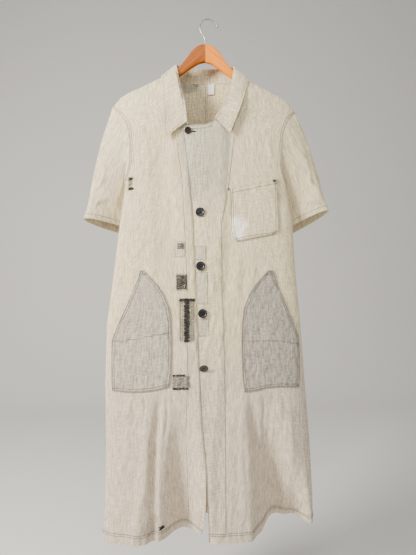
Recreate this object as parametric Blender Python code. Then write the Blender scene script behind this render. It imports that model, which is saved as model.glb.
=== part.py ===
"""A long, short-sleeved work coat of salt-and-pepper cloth, buttoned, on a wooden hanger.

Metres, +Z up. The front faces -Y and +X is the wearer's left. The sizes below are in the coat's own
frame: X = 0 is the middle of the hanger, Y = 0 its plane. Every piece hangs from an empty that puts
the origin at the inner top of the hanger's hook, where the coat is held up.
"""

import math

import bpy
import numpy as np

# Driving dimensions
CLOTH = 0.0014  # thickness of the coat's cloth wall
SEAM_GAP = 0.0003  # between two pieces at a seam
ROUNDNESS = 2.4  # exponent of the body's super-elliptic section
WRAP_RADIUS = 0.009  # the cloth's turn over the hanger's arm
FRONT_EASE = 0.085  # drop in which the front comes forward from the shoulder
BACK_EASE = 0.040  # the same for the back
SEAM_ANGLE = 98.0  # degrees round from centre front at which the side seam lies
SEAM_TURN = 0.008  # radians from that seam to either panel's edge
BACK_SEAM_TURN = 0.00014  # the same at the centre back seam
ARMPIT_Z = -0.455
ARMHOLE_TURN_Z = -0.385  # below this the armhole's edge swings round to the side seam
EVEN_DROP = 0.24  # drop from the top edge in which a panel's columns come to an even share of the width
TIP_Z = -0.234  # shoulder tip
HEM_Z = -1.317
HOOK_REST = (0.0076, 0.0, 0.0046)  # inner top of the hook's bend
LAP_STEP = 0.0029  # how far the overlap stands off the underlap
POCKET_WALL = 0.0014
POCKET_GAP = 0.0011
HEM_LIFT = 0.010  # the hem hangs this much higher from the left front's deep fold round the side

# height, wearer's-right fold x and y, wearer's-left fold x and y, front y, back y
BODY = np.array([
    (-0.100, -0.240, 0.000, 0.240, 0.000, -0.047, 0.045),
    (-0.235, -0.240, 0.000, 0.240, 0.000, -0.047, 0.045),
    (-0.300, -0.215, -0.018, 0.220, -0.014, -0.047, 0.049),
    (-0.390, -0.2035, -0.030, 0.2065, -0.020, -0.048, 0.050),
    (-0.455, -0.2035, -0.030, 0.2130, -0.020, -0.049, 0.050),
    (-0.530, -0.2160, -0.030, 0.2265, -0.020, -0.051, 0.050),
    (-0.640, -0.2292, -0.030, 0.2324, -0.020, -0.054, 0.052),
    (-0.790, -0.2491, -0.030, 0.2470, -0.020, -0.060, 0.056),
    (-0.950, -0.2533, -0.030, 0.2589, -0.020, -0.066, 0.060),
    (-1.090, -0.2503, -0.032, 0.2709, -0.017, -0.074, 0.060),
    (-1.240, -0.2528, -0.038, 0.2803, -0.012, -0.084, 0.058),
    (-1.320, -0.2577, -0.042, 0.2815, -0.010, -0.088, 0.057),
])
# distance from the middle, height of the shoulder line
SHOULDER = np.array([
    (0.000, -0.0930), (0.088, -0.1385), (0.112, -0.1507), (0.156, -0.1733),
    (0.199, -0.1938), (0.220, -0.2081), (0.2395, TIP_Z),
])
# the back's neckline: distance from the middle, height
BACK_NECK = ((SEAM_GAP / 2, -0.150), (0.030, -0.150), (0.060, -0.149), (0.082, -0.143), (0.088, -0.1385))
# height, distance from the middle of the armhole seam, right and left
ARMHOLE_RIGHT = np.array([
    (TIP_Z, 0.2395), (-0.256, 0.2192), (-0.277, 0.2037), (-0.303, 0.1960), (-0.333, 0.1930), (-0.395, 0.1940),
])
ARMHOLE_LEFT = np.array([
    (TIP_Z, 0.2395), (-0.256, 0.2183), (-0.280, 0.2070), (-0.299, 0.2005), (-0.338, 0.1969), (-0.395, 0.1985),
])
# height, x of the overlap's front edge (wearer's left)
OVERLAP_EDGE = np.array([
    (-0.301, -0.0600), (-0.378, -0.0500), (-0.438, -0.0425), (-0.529, -0.0347), (-0.620, -0.0313),
    (-0.801, -0.0240), (-0.893, -0.0205), (-1.037, -0.0128), (-1.148, -0.0020), (-1.317, 0.0046),
])
# height, x of the underlap's front edge (wearer's right)
UNDERLAP_EDGE = np.array([
    (-0.288, 0.0300), (-0.500, 0.0300), (-0.900, 0.0220), (-1.050, 0.0100), (-1.148, -0.0017),
    (-1.276, -0.0052), (-1.317, -0.0163),
])
# top x and z, bottom x and z, half width at top and bottom, depth at top and bottom of each soft trough
FRONT_FOLDS = (
    (-0.068, -0.955, -0.056, HEM_Z, 0.045, 0.080, 0.000, 0.080),
    (-0.112, -0.955, -0.130, HEM_Z, 0.028, 0.036, 0.000, 0.010),
    (0.139, -0.955, 0.190, HEM_Z, 0.045, 0.085, 0.000, 0.100),
    (0.225, -1.120, 0.243, HEM_Z, 0.025, 0.036, 0.000, 0.042),
    (-0.118, -0.36, -0.095, -0.60, 0.035, 0.050, 0.004, 0.004),
    (0.040, -0.70, -0.020, -0.87, 0.030, 0.030, 0.002, 0.002),
)
BACK_FOLDS = (
    (-0.110, -0.62, -0.140, HEM_Z, 0.040, 0.060, 0.000, 0.022),
    (0.050, -0.55, 0.075, HEM_Z, 0.040, 0.065, 0.000, 0.026),
    (-0.020, -0.95, -0.035, HEM_Z, 0.035, 0.045, 0.000, -0.014),
    (0.150, -0.90, 0.160, HEM_Z, 0.030, 0.040, 0.000, -0.010),
)
# Collar stations from the right leaf's end round the back to the left leaf's: seam x y z, roll x y z, edge x y z
COLLAR_RIGHT = np.array([
    (-0.0474, -0.047, -0.2870, -0.0474, -0.049, -0.2830, -0.0968, -0.055, -0.3212),
    (-0.0530, -0.045, -0.2630, -0.0496, -0.047, -0.2580, -0.1000, -0.052, -0.3000),
    (-0.0620, -0.040, -0.2320, -0.0545, -0.040, -0.2270, -0.1030, -0.048, -0.2620),
    (-0.0730, -0.031, -0.1970, -0.0625, -0.029, -0.1900, -0.1070, -0.036, -0.2220),
    (-0.0830, -0.016, -0.1600, -0.0700, -0.015, -0.1500, -0.1120, -0.021, -0.1800),
    (-0.0870, -0.0075, -0.1460, -0.0730, -0.007, -0.1290, -0.1140, -0.0130, -0.1580),
    (-0.0880, 0.000, -0.1385, -0.0735, 0.000, -0.1180, -0.1135, 0.000, -0.1475),
    (-0.0820, 0.014, -0.1430, -0.0660, 0.014, -0.1140, -0.1070, 0.024, -0.1600),
    (-0.0600, 0.0255, -0.1490, -0.0470, 0.026, -0.1115, -0.0750, 0.040, -0.1655),
    (-0.0300, 0.033, -0.1500, -0.0240, 0.032, -0.1110, -0.0380, 0.047, -0.1680),
])
COLLAR_BACK = np.array([(0.0, 0.0355, -0.1500, 0.0, 0.034, -0.1110, 0.0, 0.050, -0.1690)])
COLLAR_LEFT = np.array([
    (0.0190, -0.047, -0.2770, 0.0190, -0.049, -0.2710, 0.0590, -0.055, -0.3080),
    (0.0380, -0.045, -0.2560, 0.0330, -0.046, -0.2520, 0.0710, -0.052, -0.2780),
    (0.0560, -0.040, -0.2320, 0.0480, -0.040, -0.2280, 0.0860, -0.048, -0.2400),
    (0.0710, -0.031, -0.1970, 0.0610, -0.029, -0.1900, 0.0960, -0.036, -0.2100),
    (0.0830, -0.016, -0.1600, 0.0700, -0.015, -0.1500, 0.1050, -0.021, -0.1780),
    (0.0870, -0.0075, -0.1460, 0.0730, -0.007, -0.1290, 0.1105, -0.0130, -0.1570),
    (0.0880, 0.000, -0.1385, 0.0735, 0.000, -0.1180, 0.1110, 0.000, -0.1470),
    (0.0820, 0.014, -0.1430, 0.0660, 0.014, -0.1140, 0.1070, 0.024, -0.1600),
    (0.0600, 0.0255, -0.1490, 0.0470, 0.026, -0.1115, 0.0750, 0.040, -0.1655),
    (0.0300, 0.033, -0.1500, 0.0240, 0.032, -0.1110, 0.0380, 0.047, -0.1680),
])
COLLAR_WALL = 0.0013
COLLAR_SEAM = 0.0013  # from the neckline's edge up to the collar's stand
ROLL_RADIUS = 0.0030
COLLAR_LIFT = 0.0032  # the fall's upper face above the cloth it lies on
# centre x y, outer-end z, half length and half depth, turn in degrees, fall of z per metre inwards and backwards
CUFF_RIGHT = (-0.2400, 0.027, -0.5229, 0.0765, 0.026, 22.0, 0.06, 0.44)
CUFF_LEFT = (0.2540, 0.026, -0.4957, 0.0790, 0.026, 22.0, 0.27, 0.58)
SLEEVE_BULGE = 0.0060
SLEEVE_CLEARANCE = 0.0028
# Chest pocket by rows from its mouth down: inner edge x and z, outer edge x and z
CHEST_POCKET = np.array([
    (0.0581, -0.4476, 0.1816, -0.4181),
    (0.0590, -0.4735, 0.1826, -0.4480),
    (0.0597, -0.4995, 0.1836, -0.4780),
    (0.0603, -0.5255, 0.1846, -0.5080),
    (0.0612, -0.5514, 0.1853, -0.5375),
    (0.0655, -0.5690, 0.1835, -0.5500),
    (0.0765, -0.5800, 0.1720, -0.5605),
])
# Hip pockets by rows from the top down: height, inner edge and mouth's edge from the middle
HIP_POCKET = np.array([
    (-0.653, 0.156, 0.165), (-0.668, 0.142, 0.169), (-0.690, 0.122, 0.177), (-0.714, 0.106, 0.187),
    (-0.745, 0.0935, 0.200), (-0.782, 0.0880, 0.217), (-0.826, 0.0863, 0.234), (-0.870, 0.0870, 0.235),
    (-0.910, 0.0885, 0.2345), (-0.950, 0.0930, 0.2335),
])
LEFT_MOUTH_SHIFT = 0.004  # the left hip pocket's outer edge lies this much further out
# Buttons: name, x, z, diameter
BUTTONS = (
    ("button_neck", -0.0462, -0.3022, 0.018),
    ("button_1", -0.0165, -0.5075, 0.023),
    ("button_2", -0.0154, -0.6421, 0.023),
    ("button_3", -0.0105, -0.7600, 0.023),
    ("button_4", -0.0082, -0.8924, 0.023),
)
BUTTON_THICKNESS = 0.0034
BUTTON_STAND = 0.0012  # shank of thread between cloth and button
HOLE_SHARE = 0.10  # a thread hole's radius as a share of the button's
HOLE_CIRCLE = 0.22  # its distance from the middle, likewise
ARM_THICKNESS = 0.0115
ARM_BEVEL = 0.0030
BORE_RADIUS = 0.0023
# half of the hanger's outline, x and z
ARM_OUTLINE = (
    (0.0, -0.0616), (0.010, -0.0625), (0.0218, -0.0678), (0.0360, -0.0809), (0.0482, -0.0985),
    (0.0643, -0.1185), (0.0860, -0.1440), (0.112, -0.1565), (0.156, -0.1790), (0.198, -0.2000),
    (0.209, -0.2085), (0.2145, -0.2170), (0.2130, -0.2250), (0.2060, -0.2280), (0.150, -0.1985),
    (0.0733, -0.1505), (0.040, -0.1270), (0.018, -0.1130), (0.0, -0.1075),
)
WIRE_RADIUS = 0.0019
HOOK_PATH = (
    (0.0, -0.075), (0.0, -0.055), (-0.0025, -0.0425), (-0.0115, -0.0270), (-0.0138, -0.0110), (-0.0060, 0.0025),
    (0.0076, 0.0065), (0.0205, 0.0022), (0.0285, -0.0070), (0.0340, -0.0150),
)
LABEL_GAP = 0.0026
LABEL = (0.0086, 0.0262, -0.1765, -0.1500)  # left x, right x, lower z, upper z


def material(name, colour, roughness, metallic=0.0):
    """A plain Principled material of one colour."""
    made = bpy.data.materials.new(name)
    made.use_nodes = True
    shader = made.node_tree.nodes["Principled BSDF"]
    shader.inputs["Base Color"].default_value = (*colour, 1.0)
    shader.inputs["Roughness"].default_value = roughness
    shader.inputs["Metallic"].default_value = metallic
    made.diffuse_color = (*colour, 1.0)
    return made


def column(table, z, number):
    """A table's numbered column at height z; the first column holds heights that fall."""
    return np.interp(-np.asarray(z, float), -table[:, 0], table[:, number])


def smooth(t):
    """0 below 0, 1 above 1, and an even S between."""
    t = np.clip(t, 0.0, 1.0)
    return t * t * (3.0 - 2.0 * t)


def shoulder_z(x):
    return np.interp(np.abs(x), SHOULDER[:, 0], SHOULDER[:, 1])


def middle_and_half(z):
    left, right = column(BODY, z, 1), column(BODY, z, 3)
    return (left + right) / 2, (right - left) / 2


def troughs(folds, x, z):
    """Sum of the folds: each a raised cosine across its sloping centre line, deeper towards its lower end."""
    total = np.zeros(np.broadcast(x, z).shape)
    for x0, z0, x1, z1, half0, half1, deep0, deep1 in folds:
        along = (z - z0) / (z1 - z0)
        inside = np.clip(along, 0.0, 1.0)
        across = (x - (x0 + (x1 - x0) * inside)) / (half0 + (half1 - half0) * inside)
        deep = (deep0 + (deep1 - deep0) * inside**1.25) * smooth((along + 0.35) / 0.35)
        if z1 != HEM_Z:
            deep = deep * smooth((1.35 - along) / 0.35)
        total = total + deep * 0.5 * (1 + np.cos(np.pi * np.clip(across, -1.0, 1.0)))
    return total


def section_y(x, z, fullness, back):
    """y of the body's cloth: from the side fold's y towards the front's or back's, by the section's fullness."""
    middle, _ = middle_and_half(z)
    side = np.where(x < middle, column(BODY, z, 2), column(BODY, z, 4))
    drop = np.maximum(shoulder_z(x) - z, 0.0)
    turn = 1.0 - np.minimum(drop / WRAP_RADIUS, 1.0)
    wrap = WRAP_RADIUS * np.sqrt(np.maximum(1.0 - turn * turn, 0.0))
    front = -(wrap + (-column(BODY, z, 5) - WRAP_RADIUS) * (1.0 - np.exp(-drop / FRONT_EASE)))
    rear = wrap + (column(BODY, z, 6) - WRAP_RADIUS) * (1.0 - np.exp(-drop / BACK_EASE))
    front_y = side + (front - side) * fullness + troughs(FRONT_FOLDS, x, z)
    rear_y = side + (rear - side) * fullness - troughs(BACK_FOLDS, x, z)
    return np.where(back, rear_y, front_y)


def fullness_at(x, z):
    middle, half = middle_and_half(z)
    across = np.clip(np.abs((x - middle) / half), 0.0, 1.0)
    return (1.0 - across**ROUNDNESS) ** (1.0 / ROUNDNESS)


def front_y(x, z):
    """The front's outer face under any overlap."""
    x, z = np.asarray(x, float), np.asarray(z, float)
    return section_y(x, z, fullness_at(x, z), False)


def back_y(x, z):
    x, z = np.asarray(x, float), np.asarray(z, float)
    return section_y(x, z, fullness_at(x, z), True)


def lap_step(x, z):
    """How far the overlap stands in front of the underlap, easing off past the underlap's edge."""
    past = x - column(UNDERLAP_EDGE, z, 1) - 0.008
    return LAP_STEP * (1.0 - smooth(past / 0.022))


# Distance round a middling section against the angle from centre front, so columns come out evenly spaced
_ANGLES = np.linspace(0.0, np.pi, 721)
_ROUND_X = 0.25 * np.sin(_ANGLES) ** (2 / ROUNDNESS)
_ROUND_Y = -0.05 * np.sign(np.cos(_ANGLES)) * np.abs(np.cos(_ANGLES)) ** (2 / ROUNDNESS)
_LENGTHS = np.concatenate([[0.0], np.cumsum(np.hypot(np.diff(_ROUND_X), np.diff(_ROUND_Y)))])


def length_of(angle):
    return np.sign(angle) * np.interp(np.abs(angle), _ANGLES, _LENGTHS)


def angle_of(length):
    return np.sign(length) * np.interp(np.abs(length), _LENGTHS, _ANGLES)


def angle_at(x, z, back=False):
    """The section angle of a point on the front (or back) with this x."""
    middle, half = middle_and_half(z)
    across = np.clip((x - middle) / half, -0.9999, 0.9999)
    angle = np.arcsin(np.abs(across) ** (ROUNDNESS / 2))
    if back:
        angle = np.pi - angle
    return np.where(across < 0, -angle, angle)


def outer_angle(side, z, back):
    """Where a panel ends round the body: at the armhole above the armpit, at the side seam below it."""
    table = ARMHOLE_LEFT if side > 0 else ARMHOLE_RIGHT
    seam = math.radians(SEAM_ANGLE) + (SEAM_TURN if back else -SEAM_TURN)
    at_armhole = np.abs(angle_at(side * column(table, z, 1), z, back))
    blend = smooth((ARMHOLE_TURN_Z - z) / (ARMHOLE_TURN_Z - ARMPIT_Z))
    return side * (at_armhole + (seam - at_armhole) * blend)


def spread(points, count):
    """count points evenly spaced along a run of points."""
    points = np.array(points, float)
    runs = np.concatenate([[0.0], np.cumsum(np.linalg.norm(np.diff(points, axis=0), axis=1))])
    at = np.linspace(0.0, runs[-1], count)
    return np.column_stack([np.interp(at, runs, points[:, k]) for k in range(points.shape[1])])


ROWS_WRAP = np.array([0.0, 0.004, 0.008, WRAP_RADIUS * np.pi / 2])
ARMHOLE_ROWS, LOWER_ROWS = 7, 15


def drops(top_z):
    """Drop below the top edge of each row: round the hanger's arm, down to the armpit, down to the hem."""
    wrap = WRAP_RADIUS * (1.0 - np.cos(ROWS_WRAP / WRAP_RADIUS))
    armpit = (TIP_Z - ARMPIT_Z - WRAP_RADIUS) / (TIP_Z - HEM_Z - WRAP_RADIUS)
    upper = armpit * np.arange(1, ARMHOLE_ROWS + 1) / ARMHOLE_ROWS
    lower = armpit + (1.0 - armpit) * np.arange(1, LOWER_ROWS + 1) / LOWER_ROWS
    shares = np.concatenate([upper, lower])
    rest = WRAP_RADIUS + (top_z[:, None] - HEM_Z - WRAP_RADIUS) * shares[None, :]
    return np.concatenate([np.broadcast_to(wrap, (len(top_z), len(wrap))), rest], axis=1)


ARMPIT_ROW = len(ROWS_WRAP) - 1 + ARMHOLE_ROWS


def body_panel(side, back, top, edge_angle, lap=False):
    """A quarter of the body: columns from its inner edge to the armhole and side seam, rows from its top to
    the hem. A column starts at its point of the top edge and slides to an even share of the width."""
    top = np.array(top)
    z = top[:, 1:2] - drops(top[:, 1])
    hem_share = (top[:, 1:2] - z) / (top[:, 1:2] - HEM_Z)
    start_edge = length_of(edge_angle(top[:, 1]))
    start_out = length_of(outer_angle(side, top[:, 1], back))
    at_top = (length_of(angle_at(top[:, 0], top[:, 1], back)) - start_edge) / (start_out - start_edge)
    even = np.linspace(0.0, 1.0, len(top))
    slide = smooth((top[:, 1:2] - z) / EVEN_DROP)
    share = at_top[:, None] + (even - at_top)[:, None] * slide
    share[0], share[-1] = 0.0, 1.0
    inner, outer = length_of(edge_angle(z)), length_of(outer_angle(side, z, back))
    angle = angle_of(inner + (outer - inner) * share)
    middle, half = middle_and_half(z)
    x = middle + half * np.sign(angle) * np.abs(np.sin(angle)) ** (2 / ROUNDNESS)
    x[:, 0] = top[:, 0]
    fullness = np.abs(np.cos(angle)) ** (2 / ROUNDNESS)
    y = section_y(x, z, fullness, np.abs(angle) > np.pi / 2)
    if lap:
        y = y - lap_step(x, z)
    z = z + HEM_LIFT * hem_share**6 * smooth((x - 0.13) / 0.05)
    return np.stack([x, y, z], axis=-1)


def normals_of(grid, closed=False):
    """Unit normals of a grid of points, its columns wrapped round where it is closed."""
    if closed:
        padded = np.concatenate([grid[-2:], grid, grid[:2]])
        across = np.gradient(padded, axis=0)[2:-2]
    else:
        across = np.gradient(grid, axis=0, edge_order=2)
    down = np.gradient(grid, axis=1, edge_order=2)
    normal = np.cross(across, down)
    return normal / np.linalg.norm(normal, axis=-1, keepdims=True)


def unit(vectors):
    return vectors / np.linalg.norm(vectors, axis=-1, keepdims=True)


def shell(outer, inner, closed=False):
    """Vertices and faces of the closed wall between two grids of the same shape, its faces outwards."""
    columns, rows = outer.shape[:2]
    points = np.concatenate([outer.reshape(-1, 3), inner.reshape(-1, 3)])
    number = np.arange(columns * rows).reshape(columns, rows)
    if closed:
        number = np.concatenate([number, number[:1]])
    a, b, c, d = number[:-1, :-1], number[1:, :-1], number[1:, 1:], number[:-1, 1:]
    face = np.stack([a, b, c, d], axis=-1).reshape(-1, 4)
    deep = columns * rows
    faces = [face, face[:, ::-1] + deep]
    rims = [number[:, 0][::-1], number[:, -1]]
    if not closed:
        rims += [number[0], number[-1][::-1]]
    for rim in rims:
        faces.append(np.stack([rim[:-1], rim[1:], rim[1:] + deep, rim[:-1] + deep], axis=-1))
    faces = np.concatenate(faces)
    corner = points[faces]
    volume = np.einsum("ij,ij->i", corner[:, 0], np.cross(corner[:, 1], corner[:, 2])).sum()
    volume += np.einsum("ij,ij->i", corner[:, 0], np.cross(corner[:, 2], corner[:, 3])).sum()
    return points, faces if volume > 0 else faces[:, ::-1]


def add_piece(name, points, faces, mat):
    mesh = bpy.data.meshes.new(name)
    mesh.from_pydata([tuple(p) for p in points], [], [tuple(int(i) for i in f) for f in faces])
    mesh.validate()
    mesh.materials.append(mat)
    mesh.shade_smooth()
    mesh.set_sharp_from_angle(angle=math.radians(40))
    piece = bpy.data.objects.new(name, mesh)
    bpy.context.scene.collection.objects.link(piece)
    piece.parent = bpy.data.objects["hanging_point"]
    return piece


def outward(grid, normal, centre):
    """The normals turned so that they point away from a centre line."""
    away = np.einsum("ijk,ijk->ij", normal, grid - centre).sum()
    return normal if away > 0 else -normal


def front_top(side):
    """Top edge of a front, from its front edge along the neckline and the shoulder to the tip: x and z."""
    collar = COLLAR_LEFT if side > 0 else COLLAR_RIGHT
    neck = [(row[0], row[2]) for row in collar[:7]]
    if side > 0:
        neck = [(-0.0600, -0.2930), (-0.0474, -0.2885), (-0.0035, -0.2845)] + neck
    else:
        neck = [(0.0300, -0.2885), (-0.0150, -0.2890)] + neck
    shoulder = [(side * x, z) for x, z in SHOULDER[1:]]
    return np.concatenate([spread(neck, 11), spread(shoulder, 9)[1:]])


def back_top(side):
    neck = [(side * x, z) for x, z in BACK_NECK]
    shoulder = [(side * x, z) for x, z in SHOULDER[1:]]
    return np.concatenate([spread(neck, 5), spread(shoulder, 8)[1:]])


def make_body(mat):
    """The two fronts and two backs; returns each armhole's loop of points and inward directions."""
    armholes = {}
    for side in (1, -1):
        edge_table = OVERLAP_EDGE if side > 0 else UNDERLAP_EDGE
        front = body_panel(
            side, False, front_top(side), lambda z, t=edge_table: angle_at(column(t, z, 1), z), lap=side > 0
        )
        back = body_panel(
            side, True, back_top(side), lambda z, s=side: np.full(np.shape(z), s * (np.pi - BACK_SEAM_TURN))
        )
        halves = []
        for name, grid, neck in (("front", front, 10), ("back", back, 4)):
            normal = outward(grid, normals_of(grid), np.array([0.0, 0.0, -0.7]))
            normal[neck:, 0, 1] = 0.0
            if name == "back":
                normal[0, :, 0] = 0.0
            normal = unit(normal)
            shifted = grid.copy()
            shifted[neck:, 0, 1] += SEAM_GAP / 2 * (1 if name == "back" else -1)
            piece = f"{name}_{'left' if side > 0 else 'right'}"
            add_piece(piece, *shell(shifted, shifted - normal * CLOTH), mat)
            halves.append((shifted[-1, : ARMPIT_ROW + 1], normal[-1, : ARMPIT_ROW + 1]))
        (front_edge, front_n), (back_edge, back_n) = halves
        loop = np.concatenate([front_edge[:-1], back_edge[1:][::-1]])
        inward = np.concatenate([front_n[:-1], back_n[1:][::-1]])
        armholes[side] = (loop, inward)
    return armholes


def cuff_loop(cuff, side, turns):
    """A tilted oval: x and y go round its two half sizes, turned about Z, and z falls inwards and backwards."""
    cx, cy, top, half_long, half_deep, turn, fall_in, fall_back = cuff
    turn = math.radians(turn)
    along, deep = half_long * np.cos(turns), half_deep * np.sin(turns)
    out = along * math.cos(turn) + deep * math.sin(turn)
    x = cx + side * out
    y = cy - along * math.sin(turn) - deep * math.cos(turn)
    end_x, end_y = cx + side * half_long * math.cos(turn), cy - half_long * math.sin(turn)
    z = top - fall_in * side * (end_x - x) - fall_back * (y - end_y)
    return np.stack([x, y, z], axis=-1)


def clear_of_body(points, gap):
    """Points under the armpit moved out from the body's middle until they clear its section by a gap."""
    x, y, z = points[..., 0], points[..., 1], points[..., 2]
    middle, half = middle_and_half(z)
    side = np.where(x < middle, column(BODY, z, 2), column(BODY, z, 4))
    reach = np.where(y < side, side - column(BODY, z, 5), column(BODY, z, 6) - side)
    ax, ay = (x - middle) / (half + gap), (y - side) / (reach + gap)
    grow = np.maximum((np.abs(ax) ** ROUNDNESS + np.abs(ay) ** ROUNDNESS) ** (-1 / ROUNDNESS), 1.0)
    grow = 1.0 + (grow - 1.0) * smooth((-0.36 - z) / 0.07)
    return np.stack([middle + (x - middle) * grow, side + (y - side) * grow, z], axis=-1)


def make_sleeve(name, side, loop, inward, mat, rows=9):
    """A tube from the armhole to the cuff, bulged outwards and kept clear of the body."""
    runs = np.linalg.norm(np.diff(np.concatenate([loop, loop[:1]]), axis=0), axis=1)
    turns = 2 * np.pi * np.concatenate([[0.0], np.cumsum(runs)[:-1]]) / runs.sum()
    cuff = cuff_loop(CUFF_LEFT if side > 0 else CUFF_RIGHT, side, turns)
    start = loop + unit(np.array([side * 1.0, 0.0, -0.35])) * SEAM_GAP * 1.6
    share = (np.arange(rows) / (rows - 1))[None, :, None] ** 1.15
    grid = start[:, None, :] * (1 - share) + cuff[:, None, :] * share
    bulge = np.sin(np.pi * np.minimum(share[..., 0] * 1.15, 1.0)) * SLEEVE_BULGE
    outer_part = np.cos(turns)[:, None] * 0.5 + 0.5
    grid[..., 0] += side * bulge * outer_part
    grid[..., 2] += bulge * outer_part * 0.35
    gap = (SLEEVE_CLEARANCE * smooth(share / 0.2))[..., 0] * np.ones((len(loop), 1))
    grid[:, 1:] = clear_of_body(grid[:, 1:], gap[:, 1:])
    normal = outward(grid, normals_of(grid, closed=True), grid.mean(axis=0, keepdims=True))
    normal[:, 0] = inward
    add_piece(name, *shell(grid, grid - normal * CLOTH, closed=True), mat)


def curve_through(rows, per_gap):
    """A smooth run through the rows: between two rows, the Catmull-Rom cubic of their neighbours."""
    rows = np.concatenate([2 * rows[:1] - rows[1:2], rows, 2 * rows[-1:] - rows[-2:-1]])
    t = (np.arange(per_gap) / per_gap)[None, :, None]
    a, b, c, d = (rows[k : len(rows) - 3 + k, None, :] for k in range(4))
    run = 0.5 * (2 * b + (c - a) * t + (2 * a - 5 * b + 4 * c - d) * t**2 + (3 * b - a - 3 * c + d) * t**3)
    return np.concatenate([run.reshape(-1, rows.shape[1]), rows[-2:-1]])


def lifted_off(points, lift, on_front):
    """Points moved out until they stand a lift above the cloth: radially where it turns over the shoulder, and
    forwards or backwards below that. The overlap's thickness counts too."""
    x, y, z = points.T
    core = shoulder_z(x) - WRAP_RADIUS
    reach = np.hypot(y, z - core)
    grow = np.maximum((WRAP_RADIUS + lift) / reach, 1.0)
    over = z > core
    lap = np.where(x < 0.02, LAP_STEP, 0.0) + np.where((x < -0.02) & (z < -0.23), 0.0006, 0.0)
    front = np.minimum(y, front_y(x, z) - lift - lap)
    back = np.maximum(y, back_y(x, z) + lift)
    below_y = np.where(on_front, front, np.where(y > 0.002, back, y))
    return np.stack([x, np.where(over, y * grow, below_y), np.where(over, core + (z - core) * grow, z)], axis=-1)


def make_collar(mat):
    """The stand rises from the neck seam, rolls over and falls to the edge; the fall lies on the coat."""
    stations = curve_through(np.concatenate([COLLAR_RIGHT, COLLAR_BACK, COLLAR_LEFT[::-1]]), 2)
    seam, roll, edge = stations[:, 0:3].copy(), stations[:, 3:6].copy(), stations[:, 6:9].copy()
    up = unit(roll - seam)
    out = edge - roll
    out[:, 2] = 0.0
    out = unit(out)
    centre = roll + out * ROLL_RADIUS - up * ROLL_RADIUS * 0.2
    seam = seam + up * COLLAR_SEAM
    on_front = seam[:, 1] < -0.002
    arc = [centre + ROLL_RADIUS * (-out * math.cos(a) + up * math.sin(a)) for a in np.radians([10, 60, 120, 170])]
    path = [seam, (seam + arc[0]) / 2] + arc
    path += [arc[-1] * (1 - s) + edge * s for s in (0.33, 0.67, 1.0)]
    grid = np.stack(path, axis=1)
    for k in (5, 6, 7, 8):
        lift = COLLAR_LIFT + (0.0014 if k < 8 else 0.0)
        grid[:, k] = lifted_off(grid[:, k], lift, on_front)
    normal = normals_of(grid)
    if normal[len(grid) // 2, 0, 1] > 0:
        normal = -normal
    add_piece("collar", *shell(grid, grid - normal * COLLAR_WALL), mat)


def patch(name, corners_grid, mat):
    """A pocket: the front's own points under its outline, moved out, and its wall on them."""
    x, z = corners_grid[..., 0], corners_grid[..., 1]
    under = np.stack([x, front_y(x, z), z], axis=-1)
    normal = normals_of(under)
    if normal[..., 1].sum() > 0:
        normal = -normal
    inner = under + normal * POCKET_GAP
    add_piece(name, *shell(inner + normal * POCKET_WALL, inner), mat)


def between(left, right, columns):
    """Grid between two edges of equal length, columns wide."""
    share = np.linspace(0.0, 1.0, columns)[:, None, None]
    return left[None] * (1 - share) + right[None] * share


def make_pockets(mat):
    patch("chest_pocket", between(CHEST_POCKET[:, :2], CHEST_POCKET[:, 2:], 7), mat)
    for side, name in ((1, "hip_pocket_left"), (-1, "hip_pocket_right")):
        further = LEFT_MOUTH_SHIFT if side > 0 else 0.0
        near = np.column_stack([side * HIP_POCKET[:, 1], HIP_POCKET[:, 0]])
        far = np.column_stack([side * (HIP_POCKET[:, 2] + further), HIP_POCKET[:, 0]])
        patch(name, between(near, far, 9), mat)


def turned(profile, segments):
    """A closed body turned about Z from profile points of radius and height, lower pole to upper."""
    turns = np.linspace(0, 2 * np.pi, segments, endpoint=False)
    rings = [(r * np.cos(turns), r * np.sin(turns), np.full(segments, h)) for r, h in profile[1:-1]]
    points = [(0.0, 0.0, profile[0][1])]
    points += [point for ring in rings for point in zip(*ring)]
    points.append((0.0, 0.0, profile[-1][1]))
    faces = []
    after = [(k + 1) % segments for k in range(segments)]
    for k in range(segments):
        faces.append((0, 1 + after[k], 1 + k))
        for ring in range(len(rings) - 1):
            low, high = 1 + ring * segments, 1 + (ring + 1) * segments
            faces.append((low + k, low + after[k], high + after[k], high + k))
        last = 1 + (len(rings) - 1) * segments
        faces.append((last + k, last + after[k], len(points) - 1))
    return points, faces


def make_buttons(mat):
    """Turned discs with a raised rim and four thread holes, each facing along the cloth under it."""
    for name, x, z, diameter in BUTTONS:
        r, t = diameter / 2, BUTTON_THICKNESS
        profile = [
            (0, 0), (r * 0.75, 0), (r * 0.96, t * 0.25), (r, t * 0.55), (r * 0.93, t),
            (r * 0.78, t), (r * 0.62, t * 0.62), (0, t * 0.6),
        ]
        button = add_piece(name, *turned(profile, 20), mat)
        hole, hole_faces = turned([(0, -t), (r * HOLE_SHARE, -t), (r * HOLE_SHARE, 2 * t), (0, 2 * t)], 6)
        points, faces = [], []
        for k in range(4):
            turn = math.pi / 4 + k * math.pi / 2
            move = (r * HOLE_CIRCLE * math.cos(turn), r * HOLE_CIRCLE * math.sin(turn), 0)
            points.append(np.array(hole) + move)
            faces += [tuple(i + k * len(hole) for i in f) for f in hole_faces]
        points = np.concatenate(points)
        cutter = add_piece(name + "_holes", points, faces, mat)
        cutter.hide_render = True
        cutter.display_type = "WIRE"
        step = float(lap_step(x, z)) if name != "button_neck" else LAP_STEP
        y = float(front_y(x, z)) - step - BUTTON_STAND
        for thing in (button, cutter):
            thing.location = (x, y, z)
            thing.rotation_euler = (math.pi / 2, 0, 0)
        cut = button.modifiers.new("holes", "BOOLEAN")
        cut.operation, cut.solver, cut.object = "DIFFERENCE", "EXACT", cutter


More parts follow.
